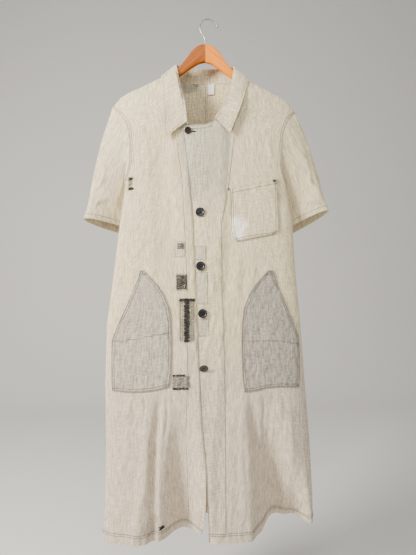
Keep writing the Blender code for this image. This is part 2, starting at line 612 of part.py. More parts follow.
def make_hanger(wood, metal):
    """Two arms joined at the middle, cut from board and bevelled, and a bent wire hook in a bore."""
    hook = bpy.data.curves.new("hanger_hook", "CURVE")
    hook.dimensions = "3D"
    spline = hook.splines.new("POLY")
    path = curve_through(np.array(HOOK_PATH), 3)
    spline.points.add(len(path) - 1)
    for point, (x, z) in zip(spline.points, path):
        point.co = (x, 0.0, z, 1.0)
    hook.bevel_depth, hook.bevel_resolution, hook.use_fill_caps = WIRE_RADIUS, 2, True
    hook.materials.append(metal)
    wire = bpy.data.objects.new("hanger_hook", hook)
    bpy.context.scene.collection.objects.link(wire)
    wire.parent = bpy.data.objects["hanging_point"]

    points, faces = turned([(0, -0.0765), (BORE_RADIUS, -0.0765), (BORE_RADIUS, -0.050), (0, -0.050)], 12)
    bore = add_piece("hook_bore", points, faces, wood)
    bore.hide_render = True
    bore.display_type = "WIRE"
    for side, name in ((1, "hanger_arm_left"), (-1, "hanger_arm_right")):
        outline = np.array([(side * max(x, SEAM_GAP / 2), z) for x, z in ARM_OUTLINE])
        count = len(outline)
        points = [(x, y, z) for y in (-ARM_THICKNESS / 2, ARM_THICKNESS / 2) for x, z in outline]
        front = list(range(count))[::side]
        ring = [(a, (a + 1) % count, (a + 1) % count + count, a + count)[::-side] for a in range(count)]
        faces = [front, [i + count for i in front][::-1]] + ring
        arm = add_piece(name, points, faces, wood)
        bevel = arm.modifiers.new("edges", "BEVEL")
        bevel.width, bevel.segments, bevel.limit_method = ARM_BEVEL, 1, "ANGLE"
        bevel.angle_limit = math.radians(60)
        cut = arm.modifiers.new("bore", "BOOLEAN")
        cut.operation, cut.solver, cut.object = "DIFFERENCE", "EXACT", bore


def make_label(mat):
    """The plain label, just in front of the back's inner face."""
    left, right, low, high = LABEL
    x, z = np.meshgrid(np.linspace(left, right, 4), np.linspace(high, low, 4), indexing="ij")
    y = back_y(x, z) - CLOTH - LABEL_GAP
    face = np.stack([x, y, z], axis=-1)
    add_piece("neck_label", *shell(face - (0.0, 0.0008, 0.0), face), mat)


def main():
    for thing in list(bpy.data.objects):
        bpy.data.objects.remove(thing, do_unlink=True)
    hanging_point = bpy.data.objects.new("hanging_point", None)
    bpy.context.scene.collection.objects.link(hanging_point)
    hanging_point.location = tuple(-v for v in HOOK_REST)
    cloth = material("cloth", (0.50, 0.48, 0.45), 0.9)
    pocket_cloth = material("pocket_cloth", (0.42, 0.40, 0.40), 0.9)
    horn = material("button", (0.012, 0.012, 0.014), 0.35)
    wood = material("wood", (0.42, 0.21, 0.08), 0.45)
    metal = material("wire", (0.55, 0.55, 0.55), 0.3, 1.0)
    tape = material("label", (0.78, 0.77, 0.73), 0.8)
    armholes = make_body(cloth)
    for side, name in ((1, "sleeve_left"), (-1, "sleeve_right")):
        make_sleeve(name, side, *armholes[side], cloth)
    make_collar(cloth)
    make_pockets(pocket_cloth)
    make_buttons(horn)
    make_hanger(wood, metal)
    make_label(tape)


main()
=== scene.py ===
"""Looks of a long, short-sleeved work coat in salt-and-pepper cloth, on a wooden hanger.

Everything is in metres. The tables are in the coat's own frame, as in the part's source: X = 0 is the
middle of the hanger and Y = 0 its plane. Each finished mesh is moved by -HOOK_REST into the row frame.
"""

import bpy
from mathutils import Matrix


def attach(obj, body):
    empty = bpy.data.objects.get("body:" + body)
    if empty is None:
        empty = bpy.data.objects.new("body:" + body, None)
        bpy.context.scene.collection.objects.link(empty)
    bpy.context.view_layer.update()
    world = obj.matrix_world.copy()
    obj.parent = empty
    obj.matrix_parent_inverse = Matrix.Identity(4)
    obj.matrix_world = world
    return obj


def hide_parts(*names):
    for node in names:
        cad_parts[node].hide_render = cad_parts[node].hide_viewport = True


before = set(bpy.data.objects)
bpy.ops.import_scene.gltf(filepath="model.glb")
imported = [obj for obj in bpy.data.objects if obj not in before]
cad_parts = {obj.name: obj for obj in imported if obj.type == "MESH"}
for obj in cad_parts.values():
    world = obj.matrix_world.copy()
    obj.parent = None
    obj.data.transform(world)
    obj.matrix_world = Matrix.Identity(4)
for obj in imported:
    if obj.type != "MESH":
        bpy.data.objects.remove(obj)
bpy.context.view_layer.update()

import math

import bmesh
import bpy
import numpy as np
from mathutils import Vector

# ---------------------------------------------------------------- sizes shared with the part's source
CLOTH = 0.0014  # thickness of the coat's cloth
SEAM_GAP = 0.0003  # between two pieces at a seam
ROUNDNESS = 2.4  # exponent of the body's super-elliptic section
WRAP_RADIUS = 0.009  # the cloth's turn over the hanger's arm
FRONT_EASE = 0.085  # drop in which the front comes forward from the shoulder
BACK_EASE = 0.040  # the same for the back
SEAM_ANGLE = 98.0  # degrees round from centre front at which the side seam lies
SEAM_TURN = 0.008  # radians from that seam to either panel's edge
BACK_SEAM_TURN = 0.00014  # the same at the centre back seam
ARMPIT_Z = -0.455
TIP_Z = -0.234  # shoulder tip
HEM_Z = -1.317
HOOK_REST = np.array([0.0076, 0.0, 0.0046])  # inner top of the hook's bend
LAP_STEP = 0.0029  # how far the overlap stands off the underlap
POCKET_WALL = 0.0014
POCKET_GAP = 0.0011
HEM_LIFT = 0.010  # the hem hangs this much higher from the left front's deep fold round the side

# height, wearer's-right fold x and y, wearer's-left fold x and y, front y, back y
BODY = np.array([
    (-0.100, -0.240, 0.000, 0.240, 0.000, -0.047, 0.045),
    (-0.235, -0.240, 0.000, 0.240, 0.000, -0.047, 0.045),
    (-0.300, -0.215, -0.018, 0.220, -0.014, -0.047, 0.049),
    (-0.390, -0.2035, -0.030, 0.2065, -0.020, -0.048, 0.050),
    (-0.455, -0.2035, -0.030, 0.2130, -0.020, -0.049, 0.050),
    (-0.530, -0.2160, -0.030, 0.2265, -0.020, -0.051, 0.050),
    (-0.640, -0.2292, -0.030, 0.2324, -0.020, -0.054, 0.052),
    (-0.790, -0.2491, -0.030, 0.2470, -0.020, -0.060, 0.056),
    (-0.950, -0.2533, -0.030, 0.2589, -0.020, -0.066, 0.060),
    (-1.090, -0.2503, -0.032, 0.2709, -0.017, -0.074, 0.060),
    (-1.240, -0.2528, -0.038, 0.2803, -0.012, -0.084, 0.058),
    (-1.320, -0.2577, -0.042, 0.2815, -0.010, -0.088, 0.057),
])
# distance from the middle, height of the shoulder line
SHOULDER = np.array([
    (0.000, -0.0930), (0.088, -0.1385), (0.112, -0.1507), (0.156, -0.1733),
    (0.199, -0.1938), (0.220, -0.2081), (0.2395, TIP_Z),
])
# the back's neckline: distance from the middle, height
BACK_NECK = ((SEAM_GAP / 2, -0.150), (0.030, -0.150), (0.060, -0.149), (0.082, -0.143), (0.088, -0.1385))
# height, distance from the middle of the armhole seam, right and left
ARMHOLE_RIGHT = np.array([
    (TIP_Z, 0.2395), (-0.256, 0.2192), (-0.277, 0.2037), (-0.303, 0.1960), (-0.333, 0.1930), (-0.395, 0.1940),
])
ARMHOLE_LEFT = np.array([
    (TIP_Z, 0.2395), (-0.256, 0.2183), (-0.280, 0.2070), (-0.299, 0.2005), (-0.338, 0.1969), (-0.395, 0.1985),
])
# height, x of the overlap's front edge (wearer's left)
OVERLAP_EDGE = np.array([
    (-0.301, -0.0600), (-0.378, -0.0500), (-0.438, -0.0425), (-0.529, -0.0347), (-0.620, -0.0313),
    (-0.801, -0.0240), (-0.893, -0.0205), (-1.037, -0.0128), (-1.148, -0.0020), (-1.317, 0.0046),
])
# height, x of the underlap's front edge (wearer's right)
UNDERLAP_EDGE = np.array([
    (-0.288, 0.0300), (-0.500, 0.0300), (-0.900, 0.0220), (-1.050, 0.0100), (-1.148, -0.0017),
    (-1.276, -0.0052), (-1.317, -0.0163),
])
# top x and z, bottom x and z, half width at top and bottom, depth at top and bottom of each soft trough
FRONT_FOLDS = (
    (-0.068, -0.955, -0.056, HEM_Z, 0.045, 0.080, 0.000, 0.080),
    (-0.112, -0.955, -0.130, HEM_Z, 0.028, 0.036, 0.000, 0.010),
    (0.139, -0.955, 0.190, HEM_Z, 0.045, 0.085, 0.000, 0.100),
    (0.225, -1.120, 0.243, HEM_Z, 0.025, 0.036, 0.000, 0.042),
    (-0.118, -0.36, -0.095, -0.60, 0.035, 0.050, 0.004, 0.004),
    (0.040, -0.70, -0.020, -0.87, 0.030, 0.030, 0.002, 0.002),
)
BACK_FOLDS = (
    (-0.110, -0.62, -0.140, HEM_Z, 0.040, 0.060, 0.000, 0.022),
    (0.050, -0.55, 0.075, HEM_Z, 0.040, 0.065, 0.000, 0.026),
    (-0.020, -0.95, -0.035, HEM_Z, 0.035, 0.045, 0.000, -0.014),
    (0.150, -0.90, 0.160, HEM_Z, 0.030, 0.040, 0.000, -0.010),
)
# Collar stations from the right leaf's end round the back to the left leaf's: x y z of seam, roll and edge
COLLAR_RIGHT = np.array([
    (-0.0474, -0.047, -0.2870, -0.0474, -0.049, -0.2830, -0.1035, -0.055, -0.3222),
    (-0.0530, -0.045, -0.2630, -0.0496, -0.047, -0.2580, -0.1058, -0.052, -0.3000),
    (-0.0620, -0.040, -0.2320, -0.0545, -0.040, -0.2270, -0.1078, -0.048, -0.2620),
    (-0.0730, -0.031, -0.1970, -0.0625, -0.029, -0.1900, -0.1098, -0.036, -0.2220),
    (-0.0830, -0.016, -0.1600, -0.0700, -0.015, -0.1500, -0.1120, -0.021, -0.1800),
    (-0.0870, -0.0075, -0.1460, -0.0730, -0.007, -0.1290, -0.1140, -0.0130, -0.1580),
    (-0.0880, 0.000, -0.1385, -0.0735, 0.000, -0.1180, -0.1135, 0.000, -0.1475),
    (-0.0820, 0.014, -0.1430, -0.0660, 0.014, -0.1140, -0.1070, 0.024, -0.1600),
    (-0.0600, 0.0255, -0.1490, -0.0470, 0.026, -0.1115, -0.0750, 0.040, -0.1655),
    (-0.0300, 0.033, -0.1500, -0.0240, 0.032, -0.1110, -0.0380, 0.047, -0.1680),
])
COLLAR_BACK = np.array([(0.0, 0.0355, -0.1500, 0.0, 0.034, -0.1110, 0.0, 0.050, -0.1690)])
COLLAR_LEFT = np.array([
    (0.0190, -0.047, -0.2770, 0.0190, -0.049, -0.2710, 0.0590, -0.055, -0.3080),
    (0.0380, -0.045, -0.2560, 0.0330, -0.046, -0.2520, 0.0710, -0.052, -0.2780),
    (0.0560, -0.040, -0.2320, 0.0480, -0.040, -0.2280, 0.0860, -0.048, -0.2400),
    (0.0710, -0.031, -0.1970, 0.0610, -0.029, -0.1900, 0.0960, -0.036, -0.2100),
    (0.0830, -0.016, -0.1600, 0.0700, -0.015, -0.1500, 0.1050, -0.021, -0.1780),
    (0.0870, -0.0075, -0.1460, 0.0730, -0.007, -0.1290, 0.1105, -0.0130, -0.1570),
    (0.0880, 0.000, -0.1385, 0.0735, 0.000, -0.1180, 0.1110, 0.000, -0.1470),
    (0.0820, 0.014, -0.1430, 0.0660, 0.014, -0.1140, 0.1070, 0.024, -0.1600),
    (0.0600, 0.0255, -0.1490, 0.0470, 0.026, -0.1115, 0.0750, 0.040, -0.1655),
    (0.0300, 0.033, -0.1500, 0.0240, 0.032, -0.1110, 0.0380, 0.047, -0.1680),
])
COLLAR_WALL = 0.0013
COLLAR_SEAM = 0.0013  # from the neckline's edge up to the collar's stand
ROLL_RADIUS = 0.0030
COLLAR_LIFT = 0.0032  # the fall's upper face above the cloth it lies on
# centre x y, outer end's z, half length and depth, turn in degrees, fall of z a metre inwards and backwards
CUFF_RIGHT = (-0.2400, 0.027, -0.5229, 0.0765, 0.026, 22.0, 0.06, 0.44)
CUFF_LEFT = (0.2540, 0.026, -0.4957, 0.0790, 0.026, 22.0, 0.27, 0.58)
SLEEVE_BULGE = 0.0060
SLEEVE_CLEARANCE = 0.0028
# Chest pocket by rows from its mouth down: inner edge x and z, outer edge x and z
CHEST_POCKET = np.array([
    (0.0581, -0.4476, 0.1816, -0.4181),
    (0.0590, -0.4735, 0.1826, -0.4480),
    (0.0597, -0.4995, 0.1836, -0.4780),
    (0.0603, -0.5255, 0.1846, -0.5080),
    (0.0612, -0.5514, 0.1853, -0.5375),
    (0.0655, -0.5690, 0.1835, -0.5500),
    (0.0765, -0.5800, 0.1720, -0.5605),
])
# Hip pockets by rows from the top down: height, inner edge and mouth's edge from the middle
HIP_POCKET = np.array([
    (-0.653, 0.156, 0.165), (-0.668, 0.142, 0.169), (-0.690, 0.122, 0.177), (-0.714, 0.106, 0.187),
    (-0.745, 0.0935, 0.200), (-0.782, 0.0880, 0.217), (-0.826, 0.0863, 0.234), (-0.870, 0.0870, 0.235),
    (-0.910, 0.0885, 0.2345), (-0.950, 0.0930, 0.2335),
])
LEFT_MOUTH_SHIFT = 0.004  # the left hip pocket's outer edge lies this much further out
# Buttons: name, x, z, diameter
BUTTONS = (
    ("button_neck", -0.0462, -0.3022, 0.018),
    ("button_1", -0.0165, -0.5075, 0.023),
    ("button_2", -0.0154, -0.6421, 0.023),
    ("button_3", -0.0105, -0.7600, 0.023),
    ("button_4", -0.0082, -0.8924, 0.023),
)
BUTTON_THICKNESS = 0.0034
BUTTON_STAND = 0.0012  # shank of thread between cloth and button
ARM_THICKNESS = 0.0115
# half of the hanger's outline, x and z
ARM_OUTLINE = (
    (0.0, -0.0616), (0.010, -0.0625), (0.0218, -0.0678), (0.0360, -0.0809), (0.0482, -0.0985),
    (0.0643, -0.1185), (0.0860, -0.1440), (0.112, -0.1565), (0.156, -0.1790), (0.198, -0.2000),
    (0.209, -0.2085), (0.2145, -0.2170), (0.2130, -0.2250), (0.2060, -0.2280), (0.150, -0.1985),
    (0.0733, -0.1505), (0.040, -0.1270), (0.018, -0.1130), (0.0, -0.1075),
)
WIRE_RADIUS = 0.0019
# middle line of the hook's wire from its foot to its tip, x and z
HOOK_PATH = (
    (0.0, -0.075), (0.0, -0.055), (-0.0025, -0.0425), (-0.0115, -0.0270), (-0.0138, -0.0110),
    (-0.0060, 0.0025), (0.0076, 0.0065), (0.0205, 0.0022), (0.0285, -0.0070), (0.0340, -0.0150),
)
LABEL_GAP = 0.0026
LABEL = (0.0086, 0.0262, -0.1765, -0.1500)  # left x, right x, lower z, upper z

# ---------------------------------------------------------------- sizes of the sewing and the creases
HEM_DEPTH = 0.0235  # turned-up hem
HEM_PLY = 0.0007  # how much the turned-up ply raises the cloth
FACING_PLY = 0.0005
BINDING_DEPTH = 0.010  # bound neck edge
STITCH_PITCH = 0.0032  # one stitch and the gap after it
STITCH_LENGTH = 0.0024
THREAD = 0.0010  # thread thickness, three times a real one so that the rows show in the render
# height, x of the row of stitches that holds the left front's facing
FACING_LEFT = np.array([
    (-0.314, 0.0701), (-0.430, 0.0572), (-0.539, 0.0366), (-0.669, 0.0375), (-0.856, 0.0431),
    (-1.041, 0.0451), (-1.290, 0.0448),
])
FACING_RIGHT = np.array([
    (-0.324, -0.0745), (-0.378, -0.0682), (-0.442, -0.0600), (-0.590, -0.0530), (-0.670, -0.0488),
    (-0.856, -0.0477), (-1.069, -0.0512), (-1.290, -0.0432),
])
# Darns: name, x from and to, z from and to, upright stitches or not, pitch, stitch, width, dark or not
DARNS = (
    ("side_darn", -0.1960, -0.1830, -0.4200, -0.4270, False, 0.0020, 0.0125, 0.0016, True),
    ("side_darn_middle", -0.1960, -0.1840, -0.4290, -0.4430, False, 0.0026, 0.0110, 0.0014, False),
    ("side_darn_low", -0.1960, -0.1820, -0.4440, -0.4510, False, 0.0020, 0.0135, 0.0016, True),
    ("small_darn", -0.0735, -0.0560, -0.5850, -0.6005, False, 0.0019, 0.0060, 0.0011, True),
    ("herringbone_darn", -0.0755, -0.0655, -0.6630, -0.7010, False, 0.0019, 0.0070, 0.0012, True),
    ("herringbone_darn_second", -0.0625, -0.0515, -0.6640, -0.7010, False, 0.0019, 0.0070, 0.0012, True),
    ("large_darn_weft", -0.0690, -0.0302, -0.7225, -0.8270, False, 0.0036, 0.0070, 0.0010, False),
    ("large_darn_warp", -0.0680, -0.0315, -0.7225, -0.8270, True, 0.0046, 0.0075, 0.0009, False),
    ("large_darn_strip", -0.0555, -0.0425, -0.7225, -0.8300, False, 0.0013, 0.0125, 0.0016, True),
    ("large_darn_cap", -0.0690, -0.0310, -0.7225, -0.7290, False, 0.0018, 0.0060, 0.0014, True),
    ("brown_darn", -0.0850, -0.0475, -0.9130, -0.9420, False, 0.0021, 0.0110, 0.0015, False),
    ("brown_darn_top", -0.0840, -0.0530, -0.9095, -0.9140, False, 0.0016, 0.0080, 0.0015, True),
    ("brown_darn_foot", -0.0850, -0.0470, -0.9415, -0.9470, False, 0.0018, 0.0080, 0.0015, True),
    ("hem_darn", -0.1175, -0.0985, -1.2800, -1.2890, False, 0.0030, 0.0175, 0.0020, True),
    ("pocket_tack_inner", 0.0535, 0.0605, -0.4450, -0.4510, False, 0.0015, 0.0050, 0.0011, True),
    ("pocket_tack_outer", 0.1690, 0.1800, -0.4205, -0.4265, False, 0.0016, 0.0050, 0.0011, True),
)
# Small patches: name, x from and to, z from and to, on the overlap or not
PATCHES = (
    ("patch_chest", -0.0800, -0.0545, -0.5795, -0.6195, False),
    ("patch_waist", -0.0760, -0.0500, -0.6600, -0.7040, False),
    ("patch_edge_high", -0.0290, -0.0017, -0.5925, -0.6265, True),
    ("patch_edge_middle", -0.0260, 0.0020, -0.6570, -0.7366, True),
    ("patch_edge_low", -0.0222, 0.0047, -0.7740, -0.8160, True),
    ("patch_hip", -0.0850, -0.0470, -0.9090, -0.9470, False),
)
PATCH_LIFT, PATCH_WALL = 0.0004, 0.0006
# x and z of the row of stitches across each hip pocket, right and left
POCKET_ROW_RIGHT = np.array([(-0.2350, -0.8290), (-0.1824, -0.8243), (-0.1420, -0.8153), (-0.0850, -0.8055)])
POCKET_ROW_LEFT = np.array([(0.0840, -0.8300), (0.1890, -0.8320), (0.2412, -0.8414)])
# How the hip pockets' lower edges wave: share of the width from the inner edge, rise in metres
POCKET_FOOT_RIGHT = ((0.0, 0.25, 0.5, 0.75, 1.0), (0.0105, 0.0020, -0.0030, -0.0025, 0.0))
POCKET_FOOT_LEFT = ((0.0, 0.2, 0.4, 0.65, 1.0), (-0.0055, -0.0025, 0.0030, 0.0040, 0.0))
SLEEVE_HEM = 0.0120  # from a sleeve's lower edge up to the row of stitches of its hem
# Creases placed on the fronts: from x z, to x z, half width, height in metres (forwards is above 0)
FRONT_CREASES = (
    (-0.120, -0.330, -0.160, -0.470, 0.012, 0.0016), (-0.090, -0.420, -0.100, -0.640, 0.016, -0.0018),
    (-0.150, -0.560, -0.190, -0.640, 0.010, 0.0013), (-0.060, -0.700, -0.045, -0.960, 0.008, 0.0011),
    (-0.112, -0.930, -0.147, -1.430, 0.016, -0.0110), (-0.150, -0.980, -0.176, -1.430, 0.020, 0.0050),
    (0.117, -0.930, 0.130, -1.430, 0.020, -0.0110), (0.168, -0.975, 0.176, -1.300, 0.009, 0.0030),
    (-0.030, -0.620, -0.040, -0.700, 0.009, 0.0012), (-0.096, -0.955, -0.104, -1.080, 0.007, -0.0032),
    (-0.152, -0.960, -0.156, -1.050, 0.006, -0.0026), (-0.176, -0.960, -0.184, -1.045, 0.006, -0.0022),
    (-0.205, -0.960, -0.210, -1.040, 0.006, -0.0020), (-0.110, -1.210, -0.150, -1.275, 0.008, 0.0014),
    (-0.075, -1.190, -0.120, -1.240, 0.007, 0.0012), (-0.200, -1.060, -0.215, -1.260, 0.014, 0.0016),
    (0.030, -0.760, -0.010, -0.860, 0.009, 0.0021), (0.012, -0.680, 0.024, -0.750, 0.007, 0.0015),
    (0.050, -0.800, 0.020, -0.905, 0.008, -0.0013), (0.100, -0.330, 0.090, -0.420, 0.014, 0.0014),
    (0.160, -0.300, 0.175, -0.400, 0.011, 0.0012), (0.070, -0.600, 0.090, -0.760, 0.018, 0.0018),
    (0.085, -0.960, 0.090, -1.280, 0.012, 0.0026), (0.140, -0.955, 0.148, -1.100, 0.007, -0.0028),
    (0.192, -0.955, 0.196, -1.080, 0.007, -0.0022), (0.205, -0.965, 0.225, -1.180, 0.010, 0.0024),
    (0.020, -1.000, 0.030, -1.230, 0.010, -0.0012), (-0.020, -0.540, 0.020, -0.600, 0.006, 0.0011),
    (-0.040, -1.020, -0.052, -1.180, 0.007, 0.0014), (0.045, -0.420, 0.100, -0.560, 0.014, -0.0012),
)
# The same on the backs, backwards above 0
BACK_CREASES = (
    (-0.150, -0.300, -0.130, -0.470, 0.014, 0.0016), (0.140, -0.290, 0.155, -0.460, 0.013, 0.0015),
    (-0.080, -0.520, -0.120, -0.760, 0.016, 0.0019), (0.090, -0.500, 0.060, -0.720, 0.015, 0.0017),
    (0.020, -0.700, 0.045, -0.980, 0.013, 0.0016), (-0.030, -0.600, -0.045, -0.860, 0.012, 0.0014),
    (-0.180, -0.640, -0.190, -0.900, 0.012, -0.0015), (0.180, -0.600, 0.190, -0.860, 0.013, 0.0016),
    (-0.120, -0.980, -0.160, -1.200, 0.011, 0.0019), (0.110, -0.960, 0.130, -1.220, 0.012, 0.0022),
    (-0.060, -1.050, -0.075, -1.280, 0.010, -0.0015), (0.200, -1.000, 0.215, -1.250, 0.009, 0.0014),
    (0.010, -1.090, 0.020, -1.290, 0.009, 0.0013), (-0.210, -1.050, -0.220, -1.240, 0.010, 0.0015),
)
# Creases of a sleeve: round it and down it in metres (0 is its top fold), to the same, half width, height
SLEEVE_CREASES = (
    (0.150, 0.010, 0.150, 0.150, 0.016, -0.0045), (0.115, 0.020, 0.110, 0.120, 0.012, 0.0022),
    (0.080, 0.130, 0.030, 0.215, 0.009, 0.0022), (0.105, 0.150, 0.060, 0.230, 0.008, 0.0018),
    (0.050, 0.060, 0.060, 0.170, 0.013, 0.0014), (0.170, 0.120, 0.130, 0.215, 0.008, 0.0016),
    (0.260, 0.020, 0.270, 0.150, 0.015, -0.0030), (0.300, 0.050, 0.330, 0.180, 0.011, 0.0020),
    (0.350, 0.130, 0.385, 0.220, 0.009, 0.0018), (0.320, 0.150, 0.300, 0.225, 0.008, -0.0015),
)
SLEEVE_CREASE_GAIN = 1.4  # the sleeves' creases stand this many times as high as their table says
# Columns of a front and a back that start on the neckline, and rows of a body panel and a sleeve
FRONT_NECK, BACK_NECK_COLUMNS = 52, 22
ARMHOLE_ROWS, LOWER_ROWS, SLEEVE_ROWS = 56, 184, 84
WRAP_ROWS = np.linspace(0.0, WRAP_RADIUS * np.pi / 2, 7)  # distances round the turn over the hanger's arm
ARMPIT_ROW = len(WRAP_ROWS) - 1 + ARMHOLE_ROWS
ARMHOLE_END_Z = -0.385  # below this a panel's edge turns from the armhole to the side seam
EVEN_DROP = 0.24  # drop from the top edge in which a panel's columns come to even shares of its width
CLEAN_WEAR = 0.353  # the wear-and-shade colours' alpha where the cloth is neither dirty, nor darkened by painted shade, nor bleached
POCKET_COLUMNS, POCKET_ROWS = 70, 90
ARM_STATIONS, ARM_SIDES = 90, 48  # of the mesh of one of the hanger's arms
ARM_SQUARENESS = 2 / 6.0  # power that flattens the arm's oval section into a board with rounded edges
TIP_RADIUS = 0.0030  # the ball at the hook's end
BUTTON_SIDES = 56
SHANK_RADIUS = 0.0016

# ---------------------------------------------------------------- studio sizes
FLOOR_Z = -1.60
BACKDROP_Y = 1.9  # where the floor starts to sweep up
BACKDROP_RADIUS = 0.8
CAMERA_PLACE = (-0.0805, -1.1477, -0.6753)
CAMERA_TURN = 4.0  # degrees to the right of straight ahead
CAMERA_LENS = 28.48  # millimetres on a 36 mm sensor
WORLD_COLOUR, WORLD_STRENGTH = (0.96, 0.97, 1.0), 0.27
# name, place, size in metres, watts, colour
LIGHTS = (
    ("key_soft", (-2.0, -1.25, 0.35), 0.8, 146.0, (1.0, 0.96, 0.88)),
    ("front_soft", (-0.2, -2.1, 1.1), 1.4, 38.0, (1.0, 0.97, 0.91)),
    ("fill_soft", (1.9, -1.5, -0.4), 1.6, 9.0, (0.96, 0.98, 1.0)),
    ("rim_soft", (0.6, 1.0, 1.0), 1.0, 8.0, (1.0, 1.0, 1.0)),
)


# ---------------------------------------------------------------- the body's form
def column(table, z, number):
    """A table's numbered column at height z; the first column holds heights that fall."""
    return np.interp(-np.asarray(z, float), -table[:, 0], table[:, number])


def smooth(t):
    """0 below 0, 1 above 1, and an even S between."""
    t = np.clip(t, 0.0, 1.0)
    return t * t * (3.0 - 2.0 * t)


def unit(vectors):
    """Each vector divided by its length."""
    return vectors / np.linalg.norm(vectors, axis=-1, keepdims=True)


def shoulder_z(x):
    """Height of the shoulder line at x, the same on both sides."""
    return np.interp(np.abs(x), SHOULDER[:, 0], SHOULDER[:, 1])


def middle_and_half(z):
    """x of the middle between the two side folds at height z, and half of their distance."""
    left, right = column(BODY, z, 1), column(BODY, z, 3)
    return (left + right) / 2, (right - left) / 2


def troughs(folds, x, z):
    """Sum of the folds: each a raised cosine across its sloping centre line, deeper towards its lower end."""
    total = np.zeros(np.broadcast(x, z).shape)
    for x0, z0, x1, z1, half0, half1, deep0, deep1 in folds:
        along = (z - z0) / (z1 - z0)
        inside = np.clip(along, 0.0, 1.0)
        across = (x - (x0 + (x1 - x0) * inside)) / (half0 + (half1 - half0) * inside)
        deep = (deep0 + (deep1 - deep0) * inside**1.25) * smooth((along + 0.35) / 0.35)
        if z1 != HEM_Z:
            deep = deep * smooth((1.35 - along) / 0.35)
        total = total + deep * 0.5 * (1 + np.cos(np.pi * np.clip(across, -1.0, 1.0)))
    return total


def section_y(x, z, fullness, back):
    """y of the body's cloth: from the side fold's towards the front's or back's, by the section's fullness."""
    middle, _ = middle_and_half(z)
    side = np.where(x < middle, column(BODY, z, 2), column(BODY, z, 4))
    drop = np.maximum(shoulder_z(x) - z, 0.0)
    turn = 1.0 - np.minimum(drop / WRAP_RADIUS, 1.0)
    wrap = WRAP_RADIUS * np.sqrt(np.maximum(1.0 - turn * turn, 0.0))
    front = -(wrap + (-column(BODY, z, 5) - WRAP_RADIUS) * (1.0 - np.exp(-drop / FRONT_EASE)))
    rear = wrap + (column(BODY, z, 6) - WRAP_RADIUS) * (1.0 - np.exp(-drop / BACK_EASE))
    front_y = side + (front - side) * fullness + troughs(FRONT_FOLDS, x, z)
    rear_y = side + (rear - side) * fullness - troughs(BACK_FOLDS, x, z)
    return np.where(back, rear_y, front_y)


def fullness_at(x, z):
    """The super-ellipse's share of its depth at x: 1 in the middle of the section, 0 at the side folds."""
    middle, half = middle_and_half(z)
    across = np.clip(np.abs((x - middle) / half), 0.0, 1.0)
    return (1.0 - across**ROUNDNESS) ** (1.0 / ROUNDNESS)


def lap_step(x, z):
    """How far the overlap stands in front of the underlap, easing off past the underlap's edge."""
    past = x - column(UNDERLAP_EDGE, z, 1) - 0.008
    return LAP_STEP * (1.0 - smooth(past / 0.022))


def crumple(a, b, size_a, size_b, seed):
    """Soft irregular waves, about -1 to 1: twenty sines of random direction, length and phase, added up."""
    rng = np.random.default_rng(seed)
    total = np.zeros(np.broadcast(a, b).shape)
    for _ in range(20):
        turn, length, phase = rng.uniform(0, np.pi), rng.uniform(0.6, 1.7), rng.uniform(0, 2 * np.pi)
        across = a / size_a * math.cos(turn) + b / size_b * math.sin(turn)
        total = total + np.sin(2 * np.pi * across / length + phase)
    return total / 6.0


def creases(table, x, z):
    """Sum of the listed creases: a raised cosine across each line, fading in and out along it."""
    total = np.zeros(np.broadcast(x, z).shape)
    for x0, z0, x1, z1, half, height in table:
        run = np.array([x1 - x0, z1 - z0])
        length = np.linalg.norm(run)
        along = ((x - x0) * run[0] + (z - z0) * run[1]) / length**2
        bow = 0.35 * half * np.sin(along * 7.0 + x0 * 90.0)
        off = ((x - x0) * run[1] - (z - z0) * run[0]) / length + bow
        across = np.clip(off / half, -1.0, 1.0)
        ends = smooth(along / 0.25) * smooth((1.0 - along) / 0.25)
        total = total + height * ends * 0.5 * (1 + np.cos(np.pi * across))
    return total


def calm_at_shoulder(x, z):
    """Share of the soft waves that stays: a quarter on the shoulder line, all of them some 50 mm below it."""
    return 1.0 - 0.75 * np.exp(-((shoulder_z(x) - z) / 0.03) ** 2)


def front_relief(x, z):
    """How far the fronts' cloth stands forward of the plain form: creases, waves and the facings' ply."""
    waves = 0.00075 * crumple(x, z, 0.045, 0.16, 3) + 0.00035 * crumple(x, z, 0.014, 0.035, 4)
    hem = smooth((-1.20 - z) / 0.08)
    pucker = 0.0006 * crumple(x, z, 0.013, 0.050, 5) * hem
    edge = np.where(x > -0.02, column(FACING_LEFT, z, 1) - x, x - column(FACING_RIGHT, z, 1))
    ply = FACING_PLY * smooth(edge / 0.005 + 0.5)
    return creases(FRONT_CREASES, x, z) + (waves + pucker + ply) * calm_at_shoulder(x, z)


def back_relief(x, z):
    """How far the backs' cloth stands behind the plain form: creases and soft waves."""
    waves = 0.00085 * crumple(x, z, 0.050, 0.17, 13) + 0.00035 * crumple(x, z, 0.015, 0.035, 14)
    return creases(BACK_CREASES, x, z) + waves * calm_at_shoulder(x, z)


def front_y(x, z, lap=False):
    """y of the fronts' dressed outer face; with lap, the overlap's own."""
    x, z = np.asarray(x, float), np.asarray(z, float)
    full = fullness_at(x, z)
    y = section_y(x, z, full, False) - front_relief(x, z) * full
    return y - lap_step(x, z) if lap else y


def back_y(x, z):
    """y of the backs' dressed outer face."""
    x, z = np.asarray(x, float), np.asarray(z, float)
    full = fullness_at(x, z)
    return section_y(x, z, full, True) + back_relief(x, z) * full


def run_lengths(points):
    """Distance of each point along a run of points, from its start, or along each of several runs."""
    steps = np.linalg.norm(np.diff(points, axis=-2), axis=-1)
    return np.concatenate([np.zeros((*steps.shape[:-1], 1)), np.cumsum(steps, axis=-1)], axis=-1)


